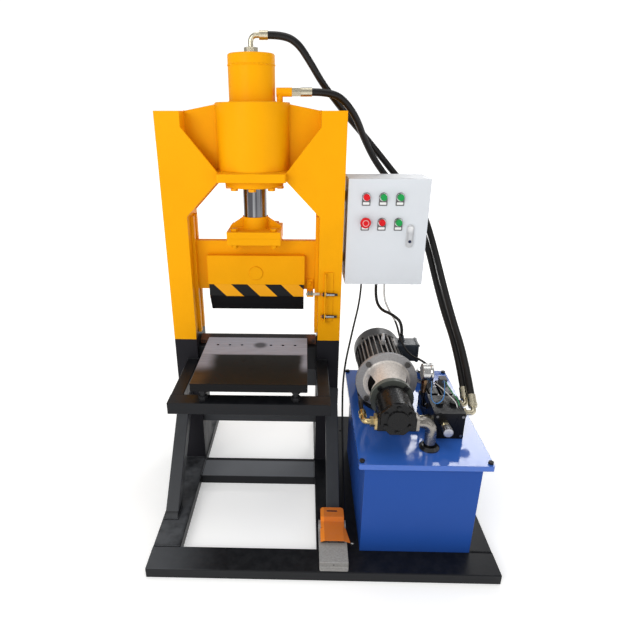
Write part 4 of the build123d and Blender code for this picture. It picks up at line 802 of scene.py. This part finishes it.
def switch_colours(place):
    """Cast grey with a darker band at the front and a dark spot as painted shade of a small screw hole."""
    y, z = place.axes("YZ")
    band = y.rise(COLUMN_FACE - 0.5895, COLUMN_FACE - 0.5905) * z.inside(0.050, 0.064, 0.001)
    # The dark spot is painted shade of a small screw hole.
    hole_shade = place.away_from(spot(0.302, 0, 0.056)).rise(0.0026, 0.0020) * band
    return place.layered(tint("switch"), (band, (0.27, 0.265, 0.255)), (hole_shade, (0.02, 0.02, 0.02)))


class SPLITTER_OT_paint_controls(bpy.types.Operator):
    """Paint the control box, the buttons, the sensors and the foot switch"""

    bl_idname = "splitter.paint_controls"
    bl_label = "Paint controls"

    def execute(self, context):
        coat = {"gloss": 0.38, "tone": 0.03, "dust": 0.04, "chips": 0.2, "peel": 0.10}
        cap = {"gloss": 0.26, "mirror": 0.12}
        cast = {"gloss": 0.5, "stain": 0.2, "stain_colour": (0.30, 0.27, 0.25), "shine": 0.1, "mirror": 0.25}
        # The left strip of the pedal is brighter orange as a painted highlight on its rounded side.
        pedal = parted("X", PRESS_X + 0.2705, PRESS_X + 0.2745, (0.92, 0.26, 0.025), tint("orange"))
        paint("box_coat", tint("box"), "box_shell", "box_door", **coat)
        moulded("gear_moulding", gear_colours, "switchgear")
        mixed_metal("door_fitting_finish", holder_parts, "door_fittings", gloss=0.16)
        moulded("red_cap", tint("red"), *RED_BUTTONS, **cap)
        moulded("green_cap", tint("green"), *GREEN_BUTTONS, **cap)
        moulded("stop_cap", stop_colours, "emergency_stop", **cap)
        moulded("lever_moulding", lever_colours, "lock_lever", gloss=0.34)
        mixed_metal("sensor_finish", sensor_parts, "sensors", gloss=0.2)
        metal("switch_casting", switch_colours, "switch_body", scratch=0.25, **cast)
        paint("pedal_enamel", pedal, "foot_pedal", gloss=0.36, chips=0.6)
        return {"FINISHED"}


CORD_ROUTES = {
    "hose_top": [
        (-0.202, 0.220, 1.733), (-0.150, 0.220, 1.733), (-0.100, 0.222, 1.710), (-0.058, 0.232, 1.654),
        (-0.012, 0.258, 1.586), (0.034, 0.298, 1.536), (0.078, 0.336, 1.488), (0.134, 0.358, 1.430),
        (0.212, 0.374, 1.348), (0.298, 0.386, 1.252), (0.404, 0.386, 1.142), (0.453, 0.348, 1.028),
        (0.496, 0.093, 0.775), (0.523, -0.0626, 0.6564), (0.523, -0.1808, 0.5640),
    ],
    "hose_side": [
        (-0.049, 0.192, 1.554), (0.002, 0.192, 1.554), (0.060, 0.206, 1.536), (0.114, 0.246, 1.474),
        (0.156, 0.306, 1.388), (0.220, 0.356, 1.288), (0.331, 0.374, 1.170), (0.424, 0.364, 1.044),
        (0.480, 0.168, 0.777), (0.510, -0.0106, 0.6564), (0.510, -0.1288, 0.5640),
    ],
    "pump_hose": [
        (0.132, -0.262, 0.540), (0.132, -0.218, 0.540), (0.136, -0.162, 0.526), (0.154, -0.120, 0.492),
        (0.194, -0.116, 0.464), (0.246, -0.146, 0.458), (0.294, -0.190, 0.470), (0.348, -0.190, 0.470),
    ],
    "motor_cable": [
        (0.224, 0.230, 0.840), (0.224, 0.230, 0.780), (0.242, 0.192, 0.742), (0.284, 0.138, 0.742),
        (0.318, 0.095, 0.722), (0.318, 0.095, 0.668),
    ],
    "valve_cable": [
        (0.258, 0.230, 0.840), (0.258, 0.230, 0.784), (0.274, 0.192, 0.744), (0.300, 0.130, 0.712),
        (0.308, 0.060, 0.664), (0.334, 0.004, 0.630), (0.378, -0.030, 0.622), (0.407, -0.042, 0.600),
        (0.407, -0.042, 0.556),
    ],
    "foot_cable": [
        (0.163, 0.230, 0.840), (0.163, 0.230, 0.776), (0.133, 0.200, 0.640), (0.096, 0.140, 0.470),
        (0.094, 0.060, 0.300), (0.094, -0.060, 0.150), (0.094, -0.138, 0.086), (0.092, -0.200, 0.067),
        (0.081, -0.240, 0.064), (0.081, -0.269, 0.064),
    ],
}

LEADS = {
    "blue_lead": [
        (0.669, -0.189, 0.546), (0.668, -0.205, 0.566), (0.658, -0.260, 0.577), (0.641, -0.318, 0.571),
        (0.640, -0.352, 0.560), (0.656, -0.362, 0.556), (0.680, -0.346, 0.568), (0.694, -0.300, 0.576),
        (0.712, -0.225, 0.572), (0.716, -0.205, 0.562), (0.717, -0.189, 0.546),
    ],
    "green_lead": [
        (0.724, -0.189, 0.546), (0.724, -0.206, 0.560), (0.718, -0.262, 0.566), (0.729, -0.312, 0.560),
        (0.738, -0.342, 0.548), (0.738, -0.346, 0.534),
    ],
    "white_lead": [
        (0.676, -0.189, 0.546), (0.678, -0.206, 0.558), (0.696, -0.262, 0.562), (0.714, -0.325, 0.560),
        (0.727, -0.348, 0.552), (0.729, -0.356, 0.534),
    ],
}
LEAD_COLOURS = {
    "blue_lead": (0.06, 0.22, 0.52),
    "green_lead": (0.05, 0.30, 0.12),
    "white_lead": (0.70, 0.70, 0.68),
}


def linked(name, data):
    """New object in the scene, at the origin."""
    made = bpy.data.objects.new(name, data)
    bpy.context.scene.collection.objects.link(made)
    return made


def plain_mesh(source, name):
    """Finished shape of an object as a plain mesh. The object itself goes."""
    graph = bpy.context.evaluated_depsgraph_get()
    mesh = bpy.data.meshes.new_from_object(source.evaluated_get(graph), depsgraph=graph)
    mesh.name = name
    bpy.data.objects.remove(source)
    return mesh


def drawn_mesh(shape, name):
    """Mesh of a finished bmesh."""
    mesh = bpy.data.meshes.new(name)
    shape.to_mesh(mesh)
    shape.free()
    return mesh


def keep(name, mesh, body, slot):
    """Links a finished mesh that stays at the origin and rides on a body."""
    piece = linked(name, mesh)
    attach(piece, body)


def smooth_line(name, route, across, finish):
    """Round line along a route."""
    line = bpy.data.curves.new(name + "_line", "CURVE")
    line.dimensions = "3D"
    spline = line.splines.new("NURBS")
    spline.points.add(len(route) - 1)
    for knot, place in zip(spline.points, route):
        knot.co = (*place, 1.0)
    spline.order_u = 3
    spline.use_endpoint_u = True
    spline.resolution_u = 16
    line.bevel_depth = across / 2
    line.bevel_resolution = 6
    line.use_fill_caps = True
    line.materials.append(finish)
    return linked(name + "_cover", line)


def lay_cord(name, across, finish):
    """Smooth cord along its route, in place of its plain solid."""
    route = CORD_ROUTES[name]
    cord = smooth_line(name, route, across, finish)
    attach(cord, "frame")
    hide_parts(name)


class SPLITTER_OT_lay_cords(bpy.types.Operator):
    """Lay the hoses and the cables"""

    bl_idname = "splitter.lay_cords"
    bl_label = "Lay hoses and cables"

    def execute(self, context):
        cords = settings("cords")
        hose = moulded("hose_rubber", tint("rubber"), gloss=0.30, grain=0.12, wear=0.2)
        cable = moulded("cable_rubber", tint("rubber"), gloss=0.36, grain=0.08, wear=0.15)
        sheath = parted("Z", 0.715, 0.718, tint("rubber"), (0.62, 0.61, 0.59))
        sleeve = moulded("sleeve_rubber", sheath, gloss=0.40, grain=0.08, wear=0.15)
        lay_cord("hose_top", cords.hose, hose)
        lay_cord("hose_side", cords.hose, hose)
        lay_cord("pump_hose", cords.pump_hose, hose)
        lay_cord("motor_cable", cords.motor_cable, cable)
        lay_cord("valve_cable", cords.thin_cable, sleeve)
        lay_cord("foot_cable", cords.thin_cable, cable)
        return {"FINISHED"}


class SPLITTER_OT_run_leads(bpy.types.Operator):
    """Run the thin leads over the valves"""

    bl_idname = "splitter.run_leads"
    bl_label = "Run thin leads"

    def execute(self, context):
        for name, route in LEADS.items():
            finish = moulded(name + "_cover", LEAD_COLOURS[name], gloss=0.4, wear=0.1)
            line = smooth_line(name, [spot(*place) for place in route], settings("cords").lead, finish)
            keep(name, plain_mesh(line, name), "frame", "cable_rubber")
        return {"FINISHED"}


class Plan:
    """Geometry Nodes tree in the making, with named inputs."""

    def __init__(self, name, **inputs):
        self.group = bpy.data.node_groups.new(name, "GeometryNodeTree")
        face = self.group.interface
        for label, kind in {"Geometry": "Geometry", **inputs, "Material": "Material"}.items():
            face.new_socket(label, in_out="INPUT", socket_type="NodeSocket" + kind)
        face.new_socket("Geometry", in_out="OUTPUT", socket_type="NodeSocketGeometry")
        self.entry = self.group.nodes.new("NodeGroupInput")
        self.exit = self.group.nodes.new("NodeGroupOutput")

    def given(self, label):
        """Named input of the tree."""
        return self.entry.outputs[label]

    def add(self, kind, values, **choices):
        """Adds a node: its choices first, then the values or links of its sockets."""
        made = self.group.nodes.new(kind)
        for name, value in choices.items():
            setattr(made, name, value)
        for name, value in values.items():
            socket = made.inputs[name]
            for source in value if isinstance(value, list) else [value]:
                if isinstance(source, bpy.types.NodeSocket):
                    self.group.links.new(source, socket)
                else:
                    socket.default_value = source
        return made.outputs[0]

    def share(self, label, factor):
        """Share of a named input."""
        return self.add("ShaderNodeMath", {0: self.given(label), 1: factor}, operation="MULTIPLY")

    def cylinder(self, sides, wide=1.0, deep=1.0):
        """Upright cylinder or prism, by shares of the tree's radius and height."""
        sizes = {"Radius": self.share("Radius", wide), "Depth": self.share("Height", deep)}
        return self.add("GeometryNodeMeshCylinder", {"Vertices": sides, **sizes})

    def lifted(self, shape, part):
        """Shape moved up by a share of the tree's height."""
        lift = self.add("ShaderNodeCombineXYZ", {"Z": self.share("Height", part)})
        return self.add("GeometryNodeTransform", {"Geometry": shape, "Translation": lift})

    def copies(self, points, shape, **values):
        """Copies of a shape, one on each point."""
        return self.add("GeometryNodeInstanceOnPoints", {"Points": points, "Instance": shape, **values})

    def turned(self, vector, axis):
        """Rotation that lays an axis along a vector."""
        return self.add("FunctionNodeAlignRotationToVector", {"Vector": vector}, axis=axis)

    def stand_on_points(self, shape):
        """Ends the tree in copies of a shape, with its Z axis along each point's facing."""
        facing = self.add("GeometryNodeInputNamedAttribute", {"Name": "facing"}, data_type="FLOAT_VECTOR")
        copies = self.copies(self.given("Geometry"), shape, Rotation=self.turned(facing, "Z"))
        return self.close(copies, False)

    def close(self, shape, smooth):
        """Ends the tree in plain faces with their material."""
        real = self.add("GeometryNodeRealizeInstances", {"Geometry": shape})
        shaded = self.add("GeometryNodeSetShadeSmooth", {"Geometry": real, "Shade Smooth": smooth})
        coated = self.add("GeometryNodeSetMaterial", {"Geometry": shaded, "Material": self.given("Material")})
        self.group.links.new(coated, self.exit.inputs[0])
        return self.group


def weld_plan():
    """Overlapping scales along lines."""
    plan = Plan("weld_bead", Width="Float", Pitch="Float", Seed="Int")
    line = plan.add("GeometryNodeMeshToCurve", {"Mesh": plan.given("Geometry")})
    path = {"Curve": line, "Length": plan.given("Pitch")}
    steps = plan.add("GeometryNodeCurveToPoints", path, mode="LENGTH")
    scale = plan.add("GeometryNodeMeshUVSphere", {"Segments": 8, "Rings": 5, "Radius": plan.given("Width")})
    limits = {0: (0.85, 0.85, 0.75), 1: (1.12, 1.12, 0.95), "Seed": plan.given("Seed")}
    change = plan.add("FunctionNodeRandomValue", limits, data_type="FLOAT_VECTOR")
    beads = plan.copies(steps, scale, Rotation=steps.node.outputs["Rotation"], Scale=change)
    return plan.close(beads, True)


def bolt_plan():
    """Hexagon heads on washers, turned to the way each point faces."""
    plan = Plan("bolt_heads", Radius="Float", Height="Float")
    pieces = [plan.lifted(plan.cylinder(6), 0.6), plan.cylinder(20, 1.3, 0.24)]
    return plan.stand_on_points(plan.add("GeometryNodeJoinGeometry", {"Geometry": pieces}))


def socket_plan():
    """Round screw heads with a hexagon socket."""
    plan = Plan("socket_screws", Radius="Float", Height="Float")
    pieces = {"Mesh 1": plan.cylinder(18), "Mesh 2": plan.lifted(plan.cylinder(6, 0.58), 0.55)}
    head = plan.add("GeometryNodeMeshBoolean", pieces, operation="DIFFERENCE")
    return plan.stand_on_points(plan.lifted(head, 0.45))


def strip_plan():
    """Blank strips with round corners, one on each point."""
    plan = Plan("blank_strips", Width="Float", Height="Float", Thick="Float")
    sides = {"Width": plan.given("Width"), "Height": plan.given("Height")}
    border = plan.add("GeometryNodeCurvePrimitiveQuadrilateral", sides)
    corners = {"Curve": border, "Count": 5, "Radius": plan.share("Height", 0.3)}
    soft = plan.add("GeometryNodeFilletCurve", corners, mode="POLY")
    face = plan.add("GeometryNodeFillCurve", {"Curve": soft}, mode="NGONS")
    depth = {"Mesh": face, "Offset Scale": plan.given("Thick")}
    pieces = [
        plan.add("GeometryNodeExtrudeMesh", depth, mode="FACES"),
        plan.add("GeometryNodeFlipFaces", {"Mesh": face}),
    ]
    both = plan.add("GeometryNodeJoinGeometry", {"Geometry": pieces})
    whole = plan.add("GeometryNodeMergeByDistance", {"Geometry": both, "Distance": 0.00001})
    return plan.stand_on_points(whole)


def tick_plan():
    """Ticks round a dial that faces up."""
    plan = Plan("dial_ticks", Count="Int", Radius="Float")
    sizes = {"Vertices": plan.given("Count"), "Radius": plan.given("Radius")}
    circle = plan.add("GeometryNodeMeshCircle", sizes)
    outward = plan.turned(plan.add("GeometryNodeInputPosition", {}), "X")
    tick = plan.add("GeometryNodeMeshCube", {"Size": TICK_SIZE})
    return plan.close(plan.copies(circle, tick, Rotation=outward), False)


def grow(name, tree, values, body, slot, points, edges=(), ways=(), place=None):
    """Runs a tree on points or lines and keeps the result as a plain mesh on a body."""
    start = bpy.data.meshes.new(name + "_seed")
    start.from_pydata([tuple(point) for point in points], list(edges), [])
    if ways:
        facing = start.attributes.new("facing", "FLOAT_VECTOR", "POINT")
        facing.data.foreach_set("vector", [part for way in ways for part in way])
    seed = linked(name + "_seed", start)
    modifier = seed.modifiers.new("grow", "NODES")
    modifier.node_group = tree
    for item in tree.interface.items_tree:
        if item.in_out == "INPUT" and item.name in values:
            modifier[item.identifier] = values[item.name]
    mesh = plain_mesh(seed, name)
    if place:
        mesh.transform(place)
    keep(name, mesh, body, slot)


def joined(lines):
    """Points and edges of several open or closed lines."""
    points, edges = [], []
    for line in lines:
        first = len(points)
        points += line
        edges += [(first + n, first + n + 1) for n in range(len(line) - 1)]
    return points, edges


def ring(z, radius, steps):
    """Closed level circle round the press axis."""
    turns = [2 * math.pi * n / steps for n in range(steps + 1)]
    return [spot(radius * math.cos(t), AXIS_Y + radius * math.sin(t), z) for t in turns]


def seam(x, y, z):
    """Straight line. A pair in place of a number is where the line starts and ends."""
    ends = [part if isinstance(part, tuple) else (part, part) for part in (x, y, z)]
    return [spot(*end) for end in zip(*ends)]


def frame_round(x, y, z):
    """Closed rectangle between two pairs of limits. The third value is a number."""
    turns = ((0, 0), (1, 0), (1, 1), (0, 1), (0, 0))
    if isinstance(y, tuple):
        return [spot(x[n], y[m], z) for n, m in turns]
    return [spot(x[n], y, z[m]) for n, m in turns]


def press_seams():
    """Welds of the press head."""
    lines = [
        ring(SEAT_TOP, JACKET_RADIUS, 48),
        ring(JACKET_TOP, BARREL_RADIUS, 36),
        ring(CAP_SEAM, CAP_RADIUS, 36),
    ]
    for side in (-1, 1):
        inner = side * COLUMN_INNER
        for y in (AXIS_Y - WING_HALF, AXIS_Y + WING_HALF):
            lines += [
                seam(side * (JACKET_RADIUS - 0.0004), y, (SEAT_TOP, JACKET_TOP - 2 * SEAM_END)),
                seam(inner, y, (SEAT_TOP, COLUMN_TOP - SEAM_END)),
                seam((side * (JACKET_RADIUS + SEAM_END), inner), y, SEAT_TOP),
            ]
        nose = (SEAT_LOW + SEAM_END, SEAT_TOP - SEAM_END)
        lines += [seam(side * 0.124, y, nose) for y in (0.0, COLUMN_DEEP)]
    return lines


def ram_seams():
    """Welds of the rod flange and of the plate on the ram beam."""
    lines = [ring(FLANGE_TOP, COLLAR_RADIUS, 30)]
    lines += [seam((-0.1015, 0.1015), y, 1.022) for y in (AXIS_Y - 0.015, AXIS_Y + 0.015)]
    for side in (-1, 1):
        gusset = (side * 0.052, side * 0.098)
        lines += [seam(gusset, y, FLANGE_TOP) for y in (AXIS_Y - 0.006, AXIS_Y + 0.006)]
    return lines


def base_seams():
    """Welds of the base, the struts and the table frame."""
    ends = [(left + SKID_SEAM_END, left + SKID_WIDTH - SKID_SEAM_END) for left in SKID_LEFTS]
    lines = [seam(end, BEAM_REAR, BASE_TOP) for end in ends]
    for side in (-1, 1):
        column, strut, arm = (
            sorted((side * near, side * far))
            for near, far in (
                (COLUMN_INNER, COLUMN_OUTER),
                (STRUT_OUTER - STRUT_WIDTH, STRUT_OUTER),
                (ARM_INNER, ARM_OUTER),
            )
        )
        lines += [
            frame_round(column, (0.0, COLUMN_DEEP), BASE_TOP),
            seam(side * SKID_INNER, (-0.124, -0.001), BASE_TOP),
            frame_round(strut, (-0.381, -0.310), BASE_TOP),
            frame_round(strut, 0.0, (0.336, 0.406)),
            frame_round(arm, 0.0, (ARM_LOW, ARM_HIGH)),
            seam(side * ARM_INNER, -0.287, (ARM_LOW + 0.003, ARM_HIGH - SEAM_END)),
        ]
    return lines


class SPLITTER_OT_weld_beads(bpy.types.Operator):
    """Run weld beads along the seams of the frame"""

    bl_idname = "splitter.weld_beads"
    bl_label = "Run weld beads"

    def execute(self, context):
        sizes = settings("details")
        values = {"Width": sizes.weld_width, "Pitch": sizes.weld_pitch, "Seed": sizes.weld_seed}
        tree = weld_plan()
        rows = (
            ("press_welds", press_seams(), "press_enamel", "frame", "yellow_paint"),
            ("ram_welds", ram_seams(), "press_enamel", "ram", "yellow_paint"),
            ("base_welds", base_seams(), "base_enamel", "frame", "black_paint"),
        )
        for name, lines, finish, body, slot in rows:
            values["Material"] = bpy.data.materials[finish]
            grow(name, tree, values, body, slot, *joined(lines))
        return {"FINISHED"}


def cowl_screws():
    """Screws round the motor's fan cover."""
    rows = []
    for turn in (45, 135, 225, 315):
        way = (math.cos(math.radians(turn)), 0, math.sin(math.radians(turn)))
        place = MOTOR_MIDDLE + COWL_RADIUS * Vector(way)
        rows.append((spot(place.x, 0.010, place.z), way))
    return rows


def small_screws():
    """Socket screws on terminal box and valves."""
    side, front = high_of("motor_frame").x, low_of("valve_block").y
    rows = [(spot(side, y, z), RIGHT) for y in (-0.066, -0.004) for z in (0.576, 0.640)]
    for x in (0.669, 0.722):
        rows += [(spot(x + dx, y, 0.532), UP) for dx in (-0.0175, 0.0175) for y in (-0.267, -0.203)]
    rows += [(spot(x, front, z), FRONT) for x in (0.651, 0.738) for z in (0.452, 0.528)]
    return rows


def bolts_on_frame():
    """Bolts of motor feet and box bars."""
    rows = [(spot(MOTOR_MIDDLE.x + side * 0.080, y, 0.453), UP) for side in (-1, 1) for y in (-0.155, -0.045)]
    low, high = low_of("box_bars"), high_of("box_bars")
    heights = (low.z + BAR_HALF, high.z - BAR_HALF)
    rows += [(spot(x, high.y, z), BACK) for x in (0.380, 0.620) for z in heights]
    return rows


class SPLITTER_OT_drive_screws(bpy.types.Operator):
    """Drive the small screws and bolts"""

    bl_idname = "splitter.drive_screws"
    bl_label = "Drive screws and bolts"

    def execute(self, context):
        sizes = settings("details")
        plated = metal("screw_plate", (0.36, 0.36, 0.37), gloss=0.26, stain=0.3, corner=SCREW_EDGE)
        dark = metal("screw_oxide", (0.045, 0.045, 0.047), stain=0.3, corner=SCREW_EDGE)
        small = {"Radius": sizes.screw_radius, "Height": sizes.screw_height, "Material": dark}
        large = {"Radius": sizes.bolt_radius, "Height": sizes.bolt_height, "Material": plated}
        sockets, heads = socket_plan(), bolt_plan()
        rows = (
            ("cowl_screws", sockets, small, cowl_screws()),
            ("small_screws", sockets, {**small, "Material": plated}, small_screws()),
            ("foot_bolts", heads, large, bolts_on_frame()),
        )
        for name, tree, values, places in rows:
            points, ways = zip(*places)
            grow(name, tree, values, "frame", "fastener_steel", points, (), ways)
        return {"FINISHED"}


class SPLITTER_OT_place_labels(bpy.types.Operator):
    """Place the blank strips below the buttons"""

    bl_idname = "splitter.place_labels"
    bl_label = "Place blank strips"

    def execute(self, context):
        sizes = settings("details")
        white = moulded("strip_film", (0.80, 0.80, 0.79), gloss=0.35, grain=0.03, wear=0.05)
        middles = [middle_of(button) for button in (*RED_BUTTONS, *GREEN_BUTTONS, "emergency_stop")]
        points = [spot(middle.x, STRIP_FACE, middle.z - STRIP_DROP) for middle in middles]
        values = {"Width": sizes.strip_width, "Height": sizes.strip_height, "Thick": STRIP_THICK}
        values["Material"] = white
        grow("button_strips", strip_plan(), values, "door", "grey_plastic", points, (), [FRONT] * len(points))
        return {"FINISHED"}


def dial_turn():
    """Matrix that stands a level dial on the gauge's face."""
    high = high_of("gauge")
    face = spot(high.x - GAUGE_RIM_DEPTH, middle_of("gauge").y, high.z - GAUGE_CASE_RADIUS)
    return Matrix.Translation(face) @ Matrix.Rotation(math.radians(90), 4, "Y")


def lathe(profile, steps=40):
    """Closed turned mesh round Z from (radius, height) points that start and end on the axis."""
    shape = bmesh.new()
    turns = [2 * math.pi * n / steps for n in range(steps)]
    rows = [
        [shape.verts.new((radius * math.cos(t), radius * math.sin(t), height)) for t in turns]
        for radius, height in profile[1:-1]
    ]
    low, high = (shape.verts.new((0, 0, profile[n][1])) for n in (0, -1))
    for n in range(steps):
        after = (n + 1) % steps
        shape.faces.new((low, rows[0][after], rows[0][n]))
        shape.faces.new((high, rows[-1][n], rows[-1][after]))
        for below, above in zip(rows, rows[1:]):
            shape.faces.new((below[n], below[after], above[after], above[n]))
    bmesh.ops.recalc_face_normals(shape, faces=shape.faces)
    for face in shape.faces:
        face.smooth = True
    return drawn_mesh(shape, "turned")


def needle_mesh():
    """Tapered needle, lying level."""
    outline = [(-0.008, -0.0011), (-0.008, 0.0011), (0.020, 0.0003), (0.020, -0.0003)]
    shape = bmesh.new()
    low, high = ([shape.verts.new((x, y, z)) for x, y in outline] for z in (0.0011, 0.0016))
    shape.faces.new(low)
    shape.faces.new(high)
    for n in range(4):
        after = (n + 1) % 4
        shape.faces.new((low[n], low[after], high[after], high[n]))
    bmesh.ops.recalc_face_normals(shape, faces=shape.faces)
    mesh = drawn_mesh(shape, "gauge_needle")
    mesh.transform(Matrix.Rotation(math.radians(NEEDLE_TURN), 4, "Z"))
    return mesh


def glass_finish():
    """Clear window glass with faint smears."""
    finish = Finish("gauge_glass", (1.0, 1.0, 1.0), None)
    smear = finish.place.noise(90.0, 3.0).rise(0.5, 0.8)
    return finish.close((), {"Roughness": 0.03 + smear * 0.08, "Transmission Weight": 1.0, "IOR": 1.45})


class SPLITTER_OT_fit_gauge(bpy.types.Operator):
    """Fit the dial, the needle and the glass of the pressure gauge"""

    bl_idname = "splitter.fit_gauge"
    bl_label = "Fit gauge dial"

    def execute(self, context):
        white = moulded("dial_card", (0.82, 0.82, 0.80), gloss=0.5, grain=0.02, wear=0.05)
        black = moulded("dial_ink", (0.012, 0.012, 0.012), gloss=0.5, grain=0.02)
        red = moulded("needle_ink", tint("red"), gloss=0.4, grain=0.02)
        card, pane = GAUGE_DIAL_RADIUS - 0.001, GAUGE_DIAL_RADIUS - 0.0006
        dial = [(0, 0.0), (card, 0.0), (card, 0.0007), (0, 0.0007)]
        glass = [(0, 0.0025), (pane, 0.0025), (pane, 0.0034), (GAUGE_DIAL_RADIUS * 0.6, 0.0039), (0, 0.0040)]
        hub = [(0, 0.0008), (0.0022, 0.0008), (0.0022, 0.0020), (0.0014, 0.0023), (0, 0.0023)]
        shapes = (
            ("gauge_dial", lathe(dial), white),
            ("gauge_window", lathe(glass), glass_finish()),
            ("gauge_needle", needle_mesh(), red),
            ("gauge_hub", lathe(hub, 20), black),
        )
        for name, mesh, finish in shapes:
            mesh.name = name
            mesh.materials.append(finish)
            mesh.transform(dial_turn())
            keep(name, mesh, "frame", "chrome_trim")
        ticks = settings("details").tick_count
        values = {"Count": ticks, "Radius": GAUGE_DIAL_RADIUS - 0.0045, "Material": black}
        place = dial_turn() @ Matrix.Translation((0, 0, 0.0008))
        grow("gauge_ticks", tick_plan(), values, "frame", "black_plastic", [(0, 0, 0)], place=place)
        return {"FINISHED"}


def lay_floor(pale):
    """Round pale floor that gets brighter far from the machine."""
    shape = bmesh.new()
    bmesh.ops.create_circle(shape, cap_ends=True, segments=96, radius=FLOOR_RADIUS)
    mesh = drawn_mesh(shape, "floor")
    finish = Finish("floor_paint", pale, None)
    place = finish.place
    finish.lay(place.noise(1.5, 3.0), [0.97 * part for part in pale])
    far = place.away_from((0, 0, 0), "XY").rise(0.8, 4.5)
    mesh.materials.append(finish.close((), {
        "Emission Color": place.mix(far, (0.42, 0.42, 0.42), (1, 1, 1)),
        "Emission Strength": 0.8,
        "Roughness": 0.75,
        "Specular IOR Level": 0.1,
    }))
    floor = linked("floor", mesh)


def light_room(sky):
    """White room that the camera sees brighter than it shines."""
    world = bpy.data.worlds.new("room")
    world.use_nodes = True
    background = world.node_tree.nodes["Background"]
    room = Wire(world.node_tree)
    seen = room.node("LightPath", output="Is Camera Ray")
    room.feed(background.inputs["Color"], (1.0, 1.0, 1.0))
    room.feed(background.inputs["Strength"], seen * (SEEN_WHITE - sky) + sky)
    return world


def area_light(name, place, aim, size, power):
    """Large soft light that looks at a point."""
    data = bpy.data.lights.new(name, "AREA")
    data.shape = "RECTANGLE"
    data.size, data.size_y = size
    data.energy = power
    light = linked(name, data)
    light.location = place
    light.rotation_euler = (Vector(aim) - Vector(place)).to_track_quat("-Z", "Y").to_euler()


def view_camera(lens):
    """Camera in front of the press that looks down on the table."""
    data = bpy.data.cameras.new("camera")
    data.lens = lens
    data.sensor_width = SENSOR_WIDTH
    data.shift_x = CAMERA_SHIFT
    camera = linked("camera", data)
    camera.location = CAMERA_PLACE
    camera.rotation_euler = (math.radians(90 - CAMERA_DOWN), 0, math.radians(CAMERA_TURN))
    return camera


class SPLITTER_OT_set_stage(bpy.types.Operator):
    """Lay the floor and set light and camera"""

    bl_idname = "splitter.set_stage"
    bl_label = "Set stage"

    def execute(self, context):
        scene, look = context.scene, settings("stage")
        lay_floor(linear(look.floor))
        scene.world = light_room(look.sky)
        scene.view_settings.view_transform = "Standard"
        for name, (place, aim, size) in LIGHTS.items():
            area_light(name, place, aim, size, getattr(look, name))
        scene.camera = view_camera(look.lens)
        return {"FINISHED"}


OPERATORS = (
    SPLITTER_OT_set_stage,
    SPLITTER_OT_lay_cords,
    SPLITTER_OT_run_leads,
    SPLITTER_OT_paint_press,
    SPLITTER_OT_paint_base,
    SPLITTER_OT_paint_power_pack,
    SPLITTER_OT_paint_controls,
    SPLITTER_OT_weld_beads,
    SPLITTER_OT_drive_screws,
    SPLITTER_OT_place_labels,
    SPLITTER_OT_fit_gauge,
)


class SPLITTER_PT_sidebar(bpy.types.Panel):
    """Steps that dress the machine"""

    bl_idname = "SPLITTER_PT_sidebar"
    bl_label = "Stone splitter"
    bl_space_type = "VIEW_3D"
    bl_region_type = "UI"
    bl_category = "Splitter"

    def draw(self, context):
        for step in OPERATORS:
            self.layout.operator(step.bl_idname)
        for name, group in GROUPS.items():
            box = self.layout.box()
            for label in group.__annotations__:
                box.prop(getattr(context.scene, name), label)


def register():
    """Adds the classes and the settings."""
    for group in (*GROUPS.values(), *OPERATORS, SPLITTER_PT_sidebar):
        bpy.utils.register_class(group)
    for name, group in GROUPS.items():
        setattr(bpy.types.Scene, name, PointerProperty(type=group))


def unregister():
    """Takes the settings and the classes away."""
    for name in GROUPS:
        delattr(bpy.types.Scene, name)
    for group in (SPLITTER_PT_sidebar, *OPERATORS, *GROUPS.values()):
        bpy.utils.unregister_class(group)


def main():
    """Dresses the machine."""
    register()
    for step in OPERATORS:
        family, _, name = step.bl_idname.partition(".")
        getattr(getattr(bpy.ops, family), name)()


if __name__ == "__main__":
    main()
